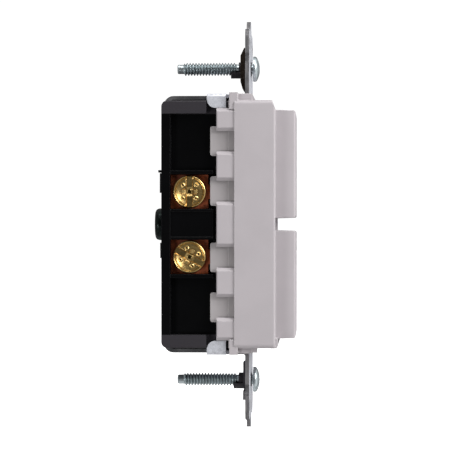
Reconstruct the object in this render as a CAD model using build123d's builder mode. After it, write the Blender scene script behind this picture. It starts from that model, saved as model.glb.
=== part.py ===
from build123d import *

import os

os.makedirs("parts", exist_ok=True)

# A duplex ground-fault receptacle on a wrap-round steel strap.
# The origin is the centre of the wall-plate screw pattern, on the back face of the strap's ears.
# "Forward" is the distance in front of that face, which is along -Y. +Z is up, +X is to the right.
# Brass (hot) terminals are on -X and silver (neutral) terminals on +X.

# ---------------------------------------------------------------- strap
strap_thickness = 1.05
mount_spacing = 83.34
plate_spacing = 96.84
ear_half_width = 17.0
ear_end = plate_spacing / 2 + 2.88
ear_corner = 3.0
tongue_end = plate_spacing / 2 + 5.93
tongue_half_width = 5.6
notch_width = 1.6
notch_root = mount_spacing / 2 + 2.93
plaster_hole_radius = 1.6
plate_hole_radius = 1.38
slot_half_height = 1.95
slot_length = 9.2
band_half_width = 9.5
strap_gap = 0.75
ear_bend_radius = 1.0
back_corner_radius = 2.1
tab_rear = -9.9
tab_front = -4.9
tab_depth = 3.7
tab_corner = 2.3
rib_height = 0.95
rib_low = mount_spacing / 2 + 2.83
rib_high = mount_spacing / 2 + 5.13
plaster_hole_x = 13.0
plaster_hole_drop = 0.82
ear_nick_radius = 1.5
ear_nick_rise = 1.73

# ---------------------------------------------------------------- housings
body_half_height = 32.2
body_half_width = 20.6
core_half_width = body_half_width - 2.6
core_wall = 1.6
body_rear = -21.7
back_wall = 2.3
back_edge_radius = 1.6
rear_flange_front = -19.4
end_panel_inner = body_half_height - 3.4
end_panel_rear = -20.9
end_wall = 1.8
plate_front = -2.75
plate_thickness = 1.55
rim_gap = 0.05
strap_channel_depth = 0.95
channel_clearance = 0.3
skirt_half_width = body_half_width - 1.0
skirt_inner = core_half_width + 0.25
skirt_rear = -7.1
skirt_half_height = body_half_height - 2.2
tab_reach = -9.0

# ---------------------------------------------------------------- front cover
cover_half_width = body_half_width + 0.9
cover_half_height = body_half_height + 0.05
cover_rear = -2.7
slab_front = 7.9
cover_wall = 1.8
face_wall = 2.0
face_front = 13.2
face_half_width = cover_half_width - 4.85
face_low = 1.6
face_high = cover_half_height - 2.3
face_draft = 2.0
slab_corner = 1.1
slab_edge = 0.45
bevel_height = 2.6
bevel_depth = 0.75
upper_shoulder = body_half_height + 2.1
lower_shoulder = body_half_height + 1.7
shoulder_overhang = 0.6
lip_reach = 0.7
shoulder_rear = -4.0
shoulder_step = -1.8
shoulder_front = 1.95
tooth_thickness = 1.25
tooth_rear = -7.35
tooth_chamfer = 0.85
tooth_heel = 0.4
tooth_inner = skirt_half_width + 0.35
tooth_outer = tooth_inner + tooth_thickness
tooth_top = skirt_half_height + 0.2
tooth_spans = ((-5.9, 5.9), (11.3, 18.95), (-18.95, -11.3), (24.25, tooth_top), (-tooth_top, -24.25))

# ---------------------------------------------------------------- receptacle faces
blade_pitch = 12.7
slot_width = 2.2
neutral_slot_height = 8.7
hot_slot_height = 7.1
ground_offset = 11.9
ground_hole_radius = 2.7
upper_blades = 13.3
lower_blades = -23.4
button_level = 5.3
button_half_width = 6.3
button_half_height = 2.1
button_clearance = 0.3
button_front = 12.9
flange_thickness = 1.6
flange_overhang = 1.0

# ---------------------------------------------------------------- terminals
terminal_level = 8.5
screw_forward = -14.4
pocket_half_height = 4.55
pocket_bottom = core_half_width - 7.0
pocket_wall = 1.2
pocket_front = -9.1
plate_outer = core_half_width - 0.3
plate_metal = 0.8
terminal_head_radius = 4.25
terminal_head_height = 2.2
terminal_shank_radius = 2.08
running_gap = 0.06
pressure_thickness = 1.4
pressure_hole_radius = terminal_shank_radius + 0.37
body_gap = 0.3
wire_hole_radius = 1.25
wire_hole_offset = 3.2

# ---------------------------------------------------------------- mounting hardware
shank_radius = 1.75
neck_radius = 1.3
screw_tip = -18.7
screw_seat = 1.5
mount_head_radius = 3.4
mount_head_height = 1.8
dog_length = 1.6
dog_radius = 1.25
thread_start = -4.6
collar_radius = 1.85
collar_rear = -2.2
upper_keeper_thickness = 0.4
lower_keeper_thickness = 0.85
keeper_half_width = 3.8

# ---------------------------------------------------------------- trip mechanism
trip_travel = 1.5
latch_travel = 2.4
test_travel = 1.2
pin_radius = 0.9
catch_radius = 1.5
stem_radius = 1.0
carrier_front = -12.8
carrier_thickness = 1.0
arm_front = -12.1
arm_thickness = 0.4
arm_inner = 3.6
arm_outer = 6.8
arm_root = 15.2
contact_level = -7.0
board_front = -17.4
board_thickness = 1.2
solenoid_forward = -12.6
shutter_travel = 2.9

strap_outer = body_half_height + strap_gap + strap_thickness
plate_rear = plate_front - plate_thickness
rim_front = plate_rear - rim_gap
floor_front = body_rear + back_wall + 0.2
cavity_half_width = core_half_width - core_wall
cavity_half_height = body_half_height - end_wall
throat_half_width = pocket_bottom - pocket_wall
mount_level = mount_spacing / 2
plate_level = plate_spacing / 2
blade_x = blade_pitch / 2
strip_rear = pocket_front + 0.2
strip_front = strip_rear + 0.6
screw_corner_x = core_half_width - 3.5
screw_corner_z = body_half_height - 4.2


def mid(limits):
    """Middle of a pair of limits."""
    return (limits[0] + limits[1]) / 2


def run(limits):
    """Distance between a pair of limits."""
    return abs(limits[1] - limits[0])


def block(x, forward, z, mode=Mode.ADD):
    """Box between pairs of limits."""
    with Locations((mid(x), -mid(forward), mid(z))):
        Box(run(x), run(forward), run(z), mode=mode)


def both(inner, outer, forward, z, mode=Mode.ADD):
    """Pair of boxes, one each side of the middle plane."""
    for side in (-1, 1):
        block((side * inner, side * outer), forward, z, mode)


def rod(radius, forward, x, z, mode=Mode.ADD):
    """Round bar along Y."""
    with Locations((x, -mid(forward), z)):
        Cylinder(radius, run(forward), rotation=(90, 0, 0), mode=mode)


def cross_rod(radius, x, forward, z, mode=Mode.ADD):
    """Round bar along X."""
    with Locations((mid(x), -forward, z)):
        Cylinder(radius, run(x), rotation=(0, 90, 0), mode=mode)


def upright_rod(radius, z, x, forward, mode=Mode.ADD):
    """Round bar along Z."""
    with Locations((x, -forward, mid(z))):
        Cylinder(radius, run(z), mode=mode)


def about(centre, half):
    """Limits half each side of a centre."""
    return (centre - half, centre + half)


def save(part, name):
    """Label a finished piece and write it."""
    part.label = name
    export_step(part, f"parts/{name}.step")


# ================================================================ rear housing
with BuildPart() as rear_housing:
    block(about(0, core_half_width), (body_rear, rim_front), about(0, body_half_height))
    block(about(0, body_half_width), (body_rear, rear_flange_front), about(0, body_half_height))
    block(about(0, body_half_width - 0.4), (rear_flange_front, pocket_front + 0.9), about(0, 3.3))
    for level in (-1, 1):
        pocket_low = terminal_level - pocket_half_height
        pocket_high = terminal_level + pocket_half_height
        end_panel = (level * end_panel_inner, level * body_half_height)
        block(about(0, body_half_width), (end_panel_rear, tab_rear - 0.1), end_panel)
        inner_rib = (level * 3.3, level * pocket_low)
        block(about(0, body_half_width - 0.05), (rear_flange_front, pocket_front + 0.9), inner_rib)
        outer_rib = (level * pocket_high, level * (pocket_high + 0.9))
        block(about(0, body_half_width - 0.1), (rear_flange_front, pocket_front + 0.9), outer_rib)
    fillet(
        rear_housing.edges().filter_by(Axis.Y).group_by(Axis.Z)[0]
        + rear_housing.edges().filter_by(Axis.Y).group_by(Axis.Z)[-1],
        0.4,
    )
    # Cavity for the mechanism, wide above and below the terminals and narrow between them.
    for level in (-1, 1):
        bay = (level * (pocket_high + 0.9), level * cavity_half_height)
        block(about(0, cavity_half_width), (floor_front, rim_front + 1), bay, Mode.SUBTRACT)
    throat = about(0, pocket_high + 1.0)
    block(about(0, throat_half_width), (floor_front, rim_front + 1), throat, Mode.SUBTRACT)
    upper_room = (pocket_front, rim_front + 1)
    block(about(0, cavity_half_width), upper_room, about(0, pocket_high + 1.0), Mode.SUBTRACT)
    # Open terminal pockets, with two wire holes through the rear flange for each.
    for level in (-1, 1):
        pocket = about(level * terminal_level, pocket_half_height)
        both(pocket_bottom, body_half_width + 1, (rear_flange_front, pocket_front + 0.9), pocket, Mode.SUBTRACT)
        for side in (-1, 1):
            for offset in (-wire_hole_offset, wire_hole_offset):
                wire_x = side * (plate_outer - plate_metal - wire_hole_radius - 0.1)
                wire_z = level * terminal_level + offset
                rod(wire_hole_radius, (body_rear - 1, rear_flange_front + 0.5), wire_x, wire_z, Mode.SUBTRACT)
    # Channel for the strap down the back.
    channel_floor = body_rear + strap_channel_depth
    channel = about(0, band_half_width + channel_clearance)
    block(channel, (body_rear - 1, channel_floor), about(0, body_half_height + 1), Mode.SUBTRACT)
    channel_ends = rear_housing.edges().filter_by(Axis.X).filter_by(
        lambda e: abs(e.center().Y + channel_floor) < 0.01 and abs(abs(e.center().Z) - body_half_height) < 0.01
    )
    chamfer(channel_ends, back_corner_radius - 0.7)
    # Low steps along the outer rear edges.
    for step_height, step_z in ((0.4, (8.2, 13.3)), (0.8, (13.5, 14.1)), (0.3, (-8.8, -4.8))):
        both(17.2, body_half_width - 0.2, (body_rear - step_height, body_rear + 0.1), step_z)
    # Corner posts for the assembly screws.
    for side in (-1, 1):
        for level in (-1, 1):
            post_x = side * screw_corner_x
            post_z = level * screw_corner_z
            rod(2.9, (floor_front - 0.5, rim_front), post_x, post_z)
            rod(1.3, (body_rear - 1, rim_front + 1), post_x, post_z, Mode.SUBTRACT)
            rod(2.4, (body_rear - 1, rear_flange_front - 0.1), post_x, post_z, Mode.SUBTRACT)
    # Standoffs under the circuit board and guide ribs for the contact carrier.
    for side in (-1, 1):
        for level in (-17.0, 17.0):
            rod(1.0, (floor_front - 0.2, board_front - board_thickness), side * 10.5, level)
    both(7.5, throat_half_width + 0.2, (board_front + 0.4, pocket_front - 1.4), about(-button_level, 1.0))
    rod(2.3, (channel_floor - 1, floor_front + 1), 0, 0, Mode.SUBTRACT)
    # Raised pads that the strap bears on.
    for level in (-1, 1):
        pad = (level * (body_half_height - 0.2), level * (body_half_height + strap_gap))
        block(about(0, 6.0), (-18.0, -13.0), pad)
    # Rounded back edges under the bends of the strap.
    for level in (-1, 1):
        edge_y = -body_rear - back_edge_radius
        edge_z = body_half_height - back_edge_radius
        with BuildSketch(Plane.YZ):
            with Locations((-body_rear, level * body_half_height)):
                Rectangle(2 * back_edge_radius, 2 * back_edge_radius)
            with Locations((edge_y, level * edge_z)):
                Circle(back_edge_radius, mode=Mode.SUBTRACT)
        extrude(amount=body_half_width + 1, both=True, mode=Mode.SUBTRACT)


# ================================================================ middle housing
with BuildPart() as middle_housing:
    block(about(0, skirt_half_width), (plate_rear, plate_front), about(0, body_half_height))
    both(skirt_inner, skirt_half_width - 0.25, (skirt_rear, plate_rear + 0.5), about(0, skirt_half_height))
    for low, high in ((4.8, 12.5), (17.8, 25.5), (-12.5, -4.8), (-25.5, -17.8)):
        both(skirt_inner, skirt_half_width - 0.15, (tab_reach, plate_rear), (low, high))
    tab_edges = middle_housing.edges().filter_by(Axis.X).group_by(Axis.Y)[-1]
    fillet(tab_edges, 0.6)
    for side in (-1, 1):
        for level in (-1, 1):
            corner = (side * screw_corner_x, level * screw_corner_z)
            rod(1.3, (plate_rear - 1, plate_front + 1), *corner, Mode.SUBTRACT)
    # Passages for the buttons' stems, the contact bars' risers and the test arm's post.
    rod(1.5, (plate_rear - 1, plate_front + 1), 0, -button_level, Mode.SUBTRACT)
    rod(1.4, (plate_rear - 1, plate_front + 1), 0, button_level, Mode.SUBTRACT)
    both(11.5, 12.9, (plate_rear - 1, plate_front + 1), about(contact_level, 2.4), Mode.SUBTRACT)
    block((-9.8, -8.8), (strip_front, plate_rear + 0.5), about(button_level, 1.0))

# ================================================================ front cover
with BuildPart() as front_cover:
    block(about(0, cover_half_width), (cover_rear, slab_front), about(0, cover_half_height))
    fillet(front_cover.edges().filter_by(Axis.Y), slab_corner)
    fillet(front_cover.faces().sort_by(Axis.Y)[0].edges(), slab_edge)
    with BuildSketch(Plane.YZ):
        with BuildLine():
            Polyline(
                (-slab_front - 1, cover_half_height - bevel_height - bevel_height / bevel_depth),
                (-slab_front + bevel_depth, cover_half_height),
                (-slab_front + bevel_depth, cover_half_height + 1),
                (-slab_front - 1, cover_half_height + 1),
                close=True,
            )
        make_face()
    extrude(amount=cover_half_width + 1, both=True, mode=Mode.SUBTRACT)
    for level in (-1, 1):
        with BuildSketch(Plane.XZ.offset(slab_front - 0.4)):
            with Locations((0, level * (face_low + face_high) / 2)):
                Rectangle(2 * face_half_width, face_high - face_low)
        extrude(amount=face_front - slab_front + 0.4, taper=face_draft)
    fillet(front_cover.faces().sort_by(Axis.Y)[0:2].edges(), 0.55)
    # Shoulders round the strap where it leaves the body.
    for level, height in ((1, upper_shoulder), (-1, lower_shoulder)):
        rear_lip = (level * (body_half_height + 0.1), level * height)
        block(about(0, body_half_width + 0.3), (shoulder_rear, shoulder_step), rear_lip)
        cheek = (level * (tooth_top - 0.3), level * height)
        both(tooth_inner, body_half_width + shoulder_overhang, (shoulder_rear, shoulder_step), cheek)
        front_lip = (level * (cover_half_height - 1.5), level * (height - 0.3))
        block(about(0, body_half_width - 0.8), (shoulder_step - 0.2, shoulder_front), front_lip)
    block((-20.0, -16.5), (shoulder_front - 0.2, 3.2), (-33.4, -cover_half_height + 0.5))
    block((16.5, 20.0), (shoulder_front - 0.2, 3.2), (-33.4, -cover_half_height + 0.5))
    # Lip along the lower edge of the slab.
    lip_front = slab_front + lip_reach
    block(about(0, cover_half_width - 0.6), (slab_front - 1, lip_front), (-cover_half_height, -face_high + 0.3))
    lip_corner = front_cover.edges().filter_by(Axis.X).filter_by(
        lambda e: abs(e.center().Y + lip_front) < 0.01 and abs(e.center().Z + cover_half_height) < 0.01
    )
    fillet(lip_corner, lip_reach)
    # Hollow inside, with bosses for the assembly screws.
    hollow = (cover_rear - 1, slab_front - face_wall)
    hollow_half_height = cover_half_height - cover_wall
    block(about(0, cover_half_width - cover_wall), hollow, about(0, hollow_half_height), Mode.SUBTRACT)
    for level in (-1, 1):
        recess = (level * (face_low + 1.4), level * (face_high - cover_wall))
        block(about(0, face_half_width - cover_wall), (cover_rear, face_front - face_wall), recess, Mode.SUBTRACT)
    # Each receptacle's shutter rides between two rails.
    for blades in (upper_blades, lower_blades):
        for way in (-1, 1):
            wall_z = (blades + way * 5.0, blades + way * 5.6)
            block(about(0, 13.0), (7.7, face_front - face_wall + 0.1), wall_z)
            ledge_z = (blades + way * 4.3, blades + way * 5.1)
            block(about(0, 13.0), (7.7, 8.8), ledge_z)
    for side in (-1, 1):
        for level in (-1, 1):
            boss_x = side * screw_corner_x
            boss_z = level * screw_corner_z
            rod(2.6, (cover_rear, slab_front - face_wall + 0.2), boss_x, boss_z)
            rod(1.12, (cover_rear - 1, 4.8), boss_x, boss_z, Mode.SUBTRACT)
    # Openings in the faces.
    face_cut = (face_front - face_wall - 0.5, face_front + 1)
    for blades in (upper_blades, lower_blades):
        hot = about(-blade_x, slot_width / 2)
        neutral = about(blade_x, slot_width / 2)
        block(hot, face_cut, about(blades, hot_slot_height / 2), Mode.SUBTRACT)
        block(neutral, face_cut, about(blades, neutral_slot_height / 2), Mode.SUBTRACT)
        ground = blades + ground_offset
        rod(ground_hole_radius, face_cut, 0, ground, Mode.SUBTRACT)
        arch = (ground - ground_hole_radius, ground)
        block(about(0, ground_hole_radius), face_cut, arch, Mode.SUBTRACT)
    for level in (-1, 1):
        window = about(level * button_level, button_half_height + button_clearance)
        block(about(0, button_half_width + button_clearance), face_cut, window, Mode.SUBTRACT)
    rod(1.05, face_cut, 11.5, -13.0, Mode.SUBTRACT)
    # Castellated skirt over the middle housing.
    for side in (-1, 1):
        for low, high in tooth_spans:
            with BuildSketch(Plane.XZ.offset(tooth_rear)):
                with BuildLine():
                    Polyline(
                        (side * tooth_inner, low),
                        (side * (tooth_outer - tooth_chamfer), low),
                        (side * tooth_outer, low + tooth_chamfer),
                        (side * tooth_outer, high - tooth_chamfer),
                        (side * (tooth_outer - tooth_chamfer), high),
                        (side * tooth_inner, high),
                        close=True,
                    )
                make_face()
            extrude(amount=cover_rear + 0.5 - tooth_rear)
    tooth_heels = front_cover.edges().filter_by(Axis.Z).filter_by(
        lambda e: abs(e.center().Y + tooth_rear) < 0.01 and abs(abs(e.center().X) - tooth_outer) < 0.01
    )
    fillet(tooth_heels, tooth_heel)
    # Slot for the strap through the shoulders.
    for level in (-1, 1):
        strap_slot = (level * (strap_outer - strap_thickness - 0.1), level * (strap_outer + 0.05))
        slot_x = about(0, ear_half_width + 0.2)
        block(slot_x, (shoulder_rear - 1, strap_thickness + 0.05), strap_slot, Mode.SUBTRACT)
        ear_slot = (level * (strap_outer - strap_thickness - 0.1), level * (upper_shoulder + 1))
        block(slot_x, (-0.6, strap_thickness + 0.05), ear_slot, Mode.SUBTRACT)
    # Slot for the end of the ground contact bar.
    bar_slot = (plate_front + 1.0, plate_front + 2.0)
    block(about(0, 4.1), bar_slot, (cover_half_height - cover_wall - 0.5, body_half_height + strap_gap + 0.1), Mode.SUBTRACT)

# ================================================================ mounting strap
with BuildPart() as mounting_strap:
    centre_y = -strap_thickness / 2
    centre_z = strap_outer - strap_thickness / 2
    back_y = -body_rear - strap_channel_depth + strap_thickness / 2
    with BuildSketch(Plane.YZ) as band_section:
        with BuildLine():
            FilletPolyline(
                (centre_y, ear_end),
                (centre_y, centre_z),
                (back_y, centre_z),
                (back_y, -centre_z),
                (centre_y, -centre_z),
                (centre_y, -ear_end),
                radius=[ear_bend_radius, back_corner_radius, back_corner_radius, ear_bend_radius],
            )
        trace(line_width=strap_thickness)
    extrude(amount=band_half_width, both=True)
    for level in (-1, 1):
        with BuildSketch(Plane.YZ):
            with BuildLine():
                FilletPolyline(
                    (centre_y, level * ear_end),
                    (centre_y, level * centre_z),
                    (-tab_rear, level * centre_z),
                    radius=ear_bend_radius,
                )
            trace(line_width=strap_thickness)
        extrude(amount=ear_half_width, both=True)
        wing = (level * (strap_outer - strap_thickness), level * strap_outer)
        tab_outer = core_half_width + strap_gap + strap_thickness
        block(about(0, tab_outer), (tab_rear, tab_front), wing)
        both(tab_outer - strap_thickness, tab_outer, (tab_rear, tab_front), (level * (strap_outer - tab_depth), level * strap_outer))
    tab_heels = mounting_strap.edges().filter_by(Axis.X).filter_by(
        lambda e: abs(abs(e.center().Z) - (strap_outer - tab_depth)) < 0.01 and abs(e.center().Y + tab_rear) < 0.01
    )
    fillet(tab_heels, tab_corner)
    bend_edges = mounting_strap.edges().filter_by(Axis.Y).filter_by(
        lambda e: abs(abs(e.center().Z) - strap_outer) < 0.01 and abs(abs(e.center().X) - tab_outer) < 0.01
    )
    fillet(bend_edges, 0.9)
    for level in (-1, 1):
        with BuildSketch(Plane.XZ):
            with Locations((0, level * (ear_end - 3 + tongue_end - tongue_half_width) / 2)):
                Rectangle(2 * tongue_half_width, tongue_end - tongue_half_width - ear_end + 3)
            with Locations((0, level * (tongue_end - tongue_half_width))):
                Circle(tongue_half_width)
        extrude(amount=strap_thickness)
    # Plaster ears: corner radii, break-off notches and holes.
    with BuildSketch(Plane.XZ.offset(strap_thickness + 0.5)) as ear_cuts:
        for level in (-1, 1):
            with Locations((0, level * mount_level)):
                SlotOverall(slot_length, 2 * slot_half_height)
            with Locations((0, level * plate_level)):
                Circle(plate_hole_radius)
            for side in (-1, 1):
                notch_x = side * (tongue_half_width + notch_width / 2 + 0.9)
                notch_z = level * (notch_root + ear_end + 1) / 2
                with Locations((notch_x, notch_z)):
                    SlotOverall(ear_end + 1 - notch_root, notch_width, rotation=90)
                with Locations((side * plaster_hole_x, level * (plate_level - plaster_hole_drop))):
                    Circle(plaster_hole_radius)
                with Locations((side * ear_half_width, level * (mount_level + ear_nick_rise))):
                    Circle(ear_nick_radius)
    extrude(amount=-strap_thickness - 1, mode=Mode.SUBTRACT)
    ear_tips = mounting_strap.edges().filter_by(Axis.Y).filter_by(
        lambda e: abs(abs(e.center().X) - ear_half_width) < 0.01 and abs(abs(e.center().Z) - ear_end) < 0.01
    )
    fillet(ear_tips, ear_corner)
    with Locations((0, 0, -(rib_low + rib_high) / 2)):
        Box(2 * tongue_half_width, 2 * rib_height, rib_high - rib_low)
    rod(plate_hole_radius, (-1, 2), 0, -plate_level, Mode.SUBTRACT)
    # Tapped hole for the ground screw, down the back.
    rod(2.1, (body_rear - 1, body_rear + 3), 0, 0, Mode.SUBTRACT)

save(rear_housing.part, "rear_housing")
save(middle_housing.part, "middle_housing")
save(front_cover.part, "front_cover")
save(mounting_strap.part, "mounting_strap")

# ================================================================ fasteners
with BuildPart() as assembly_screws:
    for side in (-1, 1):
        for level in (-1, 1):
            rod(1.1, (rear_flange_front - 0.3, 4.4), side * screw_corner_x, level * screw_corner_z)
            rod(2.1, (body_rear + 0.4, rear_flange_front - 0.15), side * screw_corner_x, level * screw_corner_z)
            cross = about(side * screw_corner_x, 1.2)
            block(cross, (body_rear, body_rear + 1.1), about(level * screw_corner_z, 0.3), Mode.SUBTRACT)
            upright = about(level * screw_corner_z, 1.2)
            block(about(side * screw_corner_x, 0.3), (body_rear, body_rear + 1.1), upright, Mode.SUBTRACT)
save(assembly_screws.part, "assembly_screws")

strap_back = body_rear + strap_channel_depth - strap_thickness
with BuildPart() as ground_screw:
    ground_head_height = 2.7
    ground_seat = strap_back - 0.2
    rod(4.27, (ground_seat - ground_head_height, ground_seat), 0, 0)
    fillet(ground_screw.edges().sort_by(Axis.Y)[-1:], 0.8)
    rod(2.04, (ground_seat, floor_front - 0.3), 0, 0)
    block(about(0, 3.3), (ground_seat - ground_head_height - 1, ground_seat - 1.6), about(0, 0.6), Mode.SUBTRACT)
save(ground_screw.part, "ground_screw")


def make_mounting_screw(level):
    """Captive mounting screw: domed head, waisted neck, threaded shank and dog point."""
    axis = Plane(origin=(0, 0, level * mount_level), x_dir=(1, 0, 0), z_dir=(0, -1, 0))
    with BuildPart() as screw:
        with BuildSketch(Plane(origin=axis.origin, x_dir=(1, 0, 0), z_dir=(0, 0, 1))):
            with BuildLine():
                crown = -screw_seat - mount_head_height
                Polyline(
                    (0, crown),
                    (0, -screw_tip),
                    (dog_radius, -screw_tip),
                    (dog_radius, -screw_tip - dog_length),
                    (shank_radius, -screw_tip - dog_length - 0.5),
                    (shank_radius, -thread_start),
                    (neck_radius, -thread_start),
                    (neck_radius, -screw_seat),
                    (mount_head_radius, -screw_seat),
                    (mount_head_radius, -screw_seat - 0.6),
                )
                ThreePointArc(
                    (mount_head_radius, -screw_seat - 0.6),
                    (mount_head_radius * 0.72, crown + 0.28),
                    (0, crown),
                )
            make_face()
        revolve(axis=Axis((0, 0, level * mount_level), (0, 1, 0)))
        slot_forward = (screw_seat + 0.8, screw_seat + mount_head_height + 1)
        block(about(0, mount_head_radius + 1), slot_forward, about(level * mount_level, 0.45), Mode.SUBTRACT)
        block(about(0, 0.5), slot_forward, about(level * mount_level, 1.9), Mode.SUBTRACT)
    return screw.part


def make_retainer(level, wing_rear, plate_reach, keeper_thickness):
    """Plastic collar that holds a mounting screw in its slot, with a spoon-shaped wing below the shank."""
    axis_z = level * mount_level
    with BuildPart() as retainer:
        rod(collar_radius, (collar_rear, strap_thickness + 0.2), 0, axis_z)
        plate = (axis_z - plate_reach[0], axis_z + plate_reach[1])
        block(about(0, keeper_half_width), (-0.1 - keeper_thickness, -0.1), plate)
        rod(collar_radius + 0.65, (wing_rear, -0.2), 0, axis_z)
        block(about(0, 4), (wing_rear - 1, -0.1 - keeper_thickness), (axis_z - 0.9, axis_z + 4), Mode.SUBTRACT)
        rod(collar_radius, (collar_rear, -0.2), 0, axis_z)
        rod(neck_radius + running_gap, (-20, 5), 0, axis_z, Mode.SUBTRACT)
        rod(shank_radius + 0.08, (-20, collar_rear), 0, axis_z, Mode.SUBTRACT)
    return retainer.part


save(make_mounting_screw(1), "upper_mounting_screw")
save(make_mounting_screw(-1), "lower_mounting_screw")
save(make_retainer(1, -4.3, (2.2, 2.2), upper_keeper_thickness), "upper_screw_retainer")
save(make_retainer(-1, -3.6, (2.2, 4.8), lower_keeper_thickness), "lower_screw_retainer")

with BuildPart() as grounding_clip:
    clip_metal = 0.45
    clip_seat = 0.35
    clip_half_width = 6.6
    with BuildSketch(Plane.YZ):
        with BuildLine():
            Polyline(
                (clip_seat, mount_level - 6.07),
                (clip_seat + 0.5, mount_level - 5.47),
                (clip_seat + 1.0, mount_level - 3.67),
                (clip_seat + 1.0, mount_level + 3.13),
                (clip_seat, mount_level + 5.23),
            )
        trace(line_width=clip_metal)
    extrude(amount=clip_half_width, both=True)
    block(about(0, 4.6), (-3, 0), about(mount_level, 2.9), Mode.SUBTRACT)
    # Cheeks folded towards the ear along both sides.
    for side in (-1, 1):
        with BuildSketch(Plane.YZ.offset(side * clip_half_width)):
            with BuildLine():
                Polyline(
                    (0.12, mount_level - 5.87),
                    (clip_seat + 0.5, mount_level - 5.47),
                    (clip_seat + 1.0, mount_level - 3.67),
                    (clip_seat + 1.0, mount_level + 3.13),
                    (0.12, mount_level + 5.03),
                    close=True,
                )
            make_face()
        extrude(amount=-side * clip_metal)
save(grounding_clip.part, "grounding_clip")

# ================================================================ terminals
sides = {"hot": -1, "neutral": 1}


def make_terminal_screw(side, level):
    """Binding-head terminal screw with a combination slot."""
    seat = plate_outer + body_gap
    tip = pocket_bottom + 0.5
    z = level * terminal_level
    with BuildPart() as screw:
        cross_rod(terminal_head_radius, (side * seat, side * (seat + terminal_head_height)), screw_forward, z)
        rim = screw.edges().filter_by(GeomType.CIRCLE).sort_by(Axis.X)[-1 if side > 0 else 0]
        fillet(rim, 0.5)
        cross_rod(terminal_shank_radius, (side * tip, side * seat), screw_forward, z)
        slot = (side * (seat + 1.1), side * (seat + terminal_head_height + 1))
        block(slot, about(screw_forward, 0.65), about(z, terminal_head_radius + 1), Mode.SUBTRACT)
        block(slot, about(screw_forward, 1.7), about(z, 0.5), Mode.SUBTRACT)
    return screw.part


def make_terminal_plate(side, level):
    """Stamped terminal plate with its tapped hole and the neck that enters the housing."""
    z = level * terminal_level
    plate_x = (side * (plate_outer - plate_metal), side * plate_outer)
    plate_rear_edge = rear_flange_front + 0.05
    with BuildPart() as plate:
        block(plate_x, (plate_rear_edge, pocket_front - 0.5), about(z, pocket_half_height - 0.1))
        block(plate_x, (pocket_front - 0.6, strip_front), about(z, 1.9))
        block((side * 0.6, side * plate_outer), (strip_rear, strip_front), about(z, 1.9))
        cross_rod(terminal_shank_radius + running_gap, (side * 15, side * 19), screw_forward, z, Mode.SUBTRACT)
    return plate


for name, side in sides.items():
    line_z = terminal_level
    leg_z = 23.2
    line = make_terminal_plate(side, 1)
    with BuildPart() as line_terminal:
        add(line.part)
        block((side * 0.6, side * 2.6), (strip_rear, strip_front), (line_z - 1.9, leg_z + 0.3))
        block((side * 0.6, side * 2.6), (board_front, strip_front), about(leg_z, 0.3))
    save(line_terminal.part, f"line_{name}_terminal")

    load = make_terminal_plate(side, -1)
    with BuildPart() as load_terminal:
        add(load.part)
        block((side * -1, side * (arm_inner + 0.1)), (strip_rear - 1, strip_front + 1), (-12, -4), Mode.SUBTRACT)
        block((side * arm_inner, side * (arm_outer + 1)), (strip_rear, strip_front), (-terminal_level, -5.2))
        contact_x = side * (arm_inner + arm_outer) / 2
        rod(1.5, (arm_front + 1.1, strip_front), contact_x, contact_level)
    save(load_terminal.part, f"load_{name}_terminal")

    for row, level in (("line", 1), ("load", -1)):
        save(make_terminal_screw(side, level), f"{row}_{name}_screw")
        with BuildPart() as pressure_plate:
            near = plate_outer - plate_metal - body_gap
            far = near - pressure_thickness
            z = level * terminal_level
            block((side * far, side * near), about(screw_forward, 4.4), about(z, 4.2))
            fillet(pressure_plate.edges().filter_by(Axis.X), 0.8)
            cross_rod(pressure_hole_radius, (side * 10, side * 19), screw_forward, z, Mode.SUBTRACT)
        save(pressure_plate.part, f"{row}_{name}_pressure_plate")

    # Receptacle contact bar: a strip with a pair of spring leaves under each blade slot.
    with BuildPart() as contact_bar:
        bar_rear = plate_front + 0.15
        bar_front = bar_rear + 0.7
        bar_x = (side * 4.6, side * 8.4)
        block(bar_x, (bar_rear, bar_front), (lower_blades - 4, upper_blades + 4))
        for blades in (upper_blades, lower_blades):
            for leaf in (blade_x - 1.35, blade_x + 0.85):
                block((side * leaf, side * (leaf + 0.5)), (bar_rear, 6.5), about(blades, 3.0))
        riser_x = 12.2
        block((side * 8, side * (riser_x + 0.35)), (bar_rear, bar_front), about(contact_level, 1.8))
        block((side * (riser_x - 0.35), side * (riser_x + 0.35)), (strip_front, bar_front), about(contact_level, 1.8))
    save(contact_bar.part, f"{name}_contact_bar")

# ================================================================ grounding
with BuildPart() as ground_contact_bar:
    ground_rear = plate_front + 1.15
    ground_front = ground_rear + 0.7
    lowest = lower_blades + ground_offset - 3.5
    block(about(0, 3.9), (ground_rear, ground_front), (lowest, body_half_height + strap_gap - 0.05))
    for blades in (upper_blades, lower_blades):
        ground = blades + ground_offset
        both(2.55, 3.05, (ground_rear, 6.5), about(ground, 2.5))
    for level in (-button_level, button_level):
        rod(2.95, (ground_rear - 1, ground_front + 1), 0, level, Mode.SUBTRACT)
save(ground_contact_bar.part, "ground_contact_bar")

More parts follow.
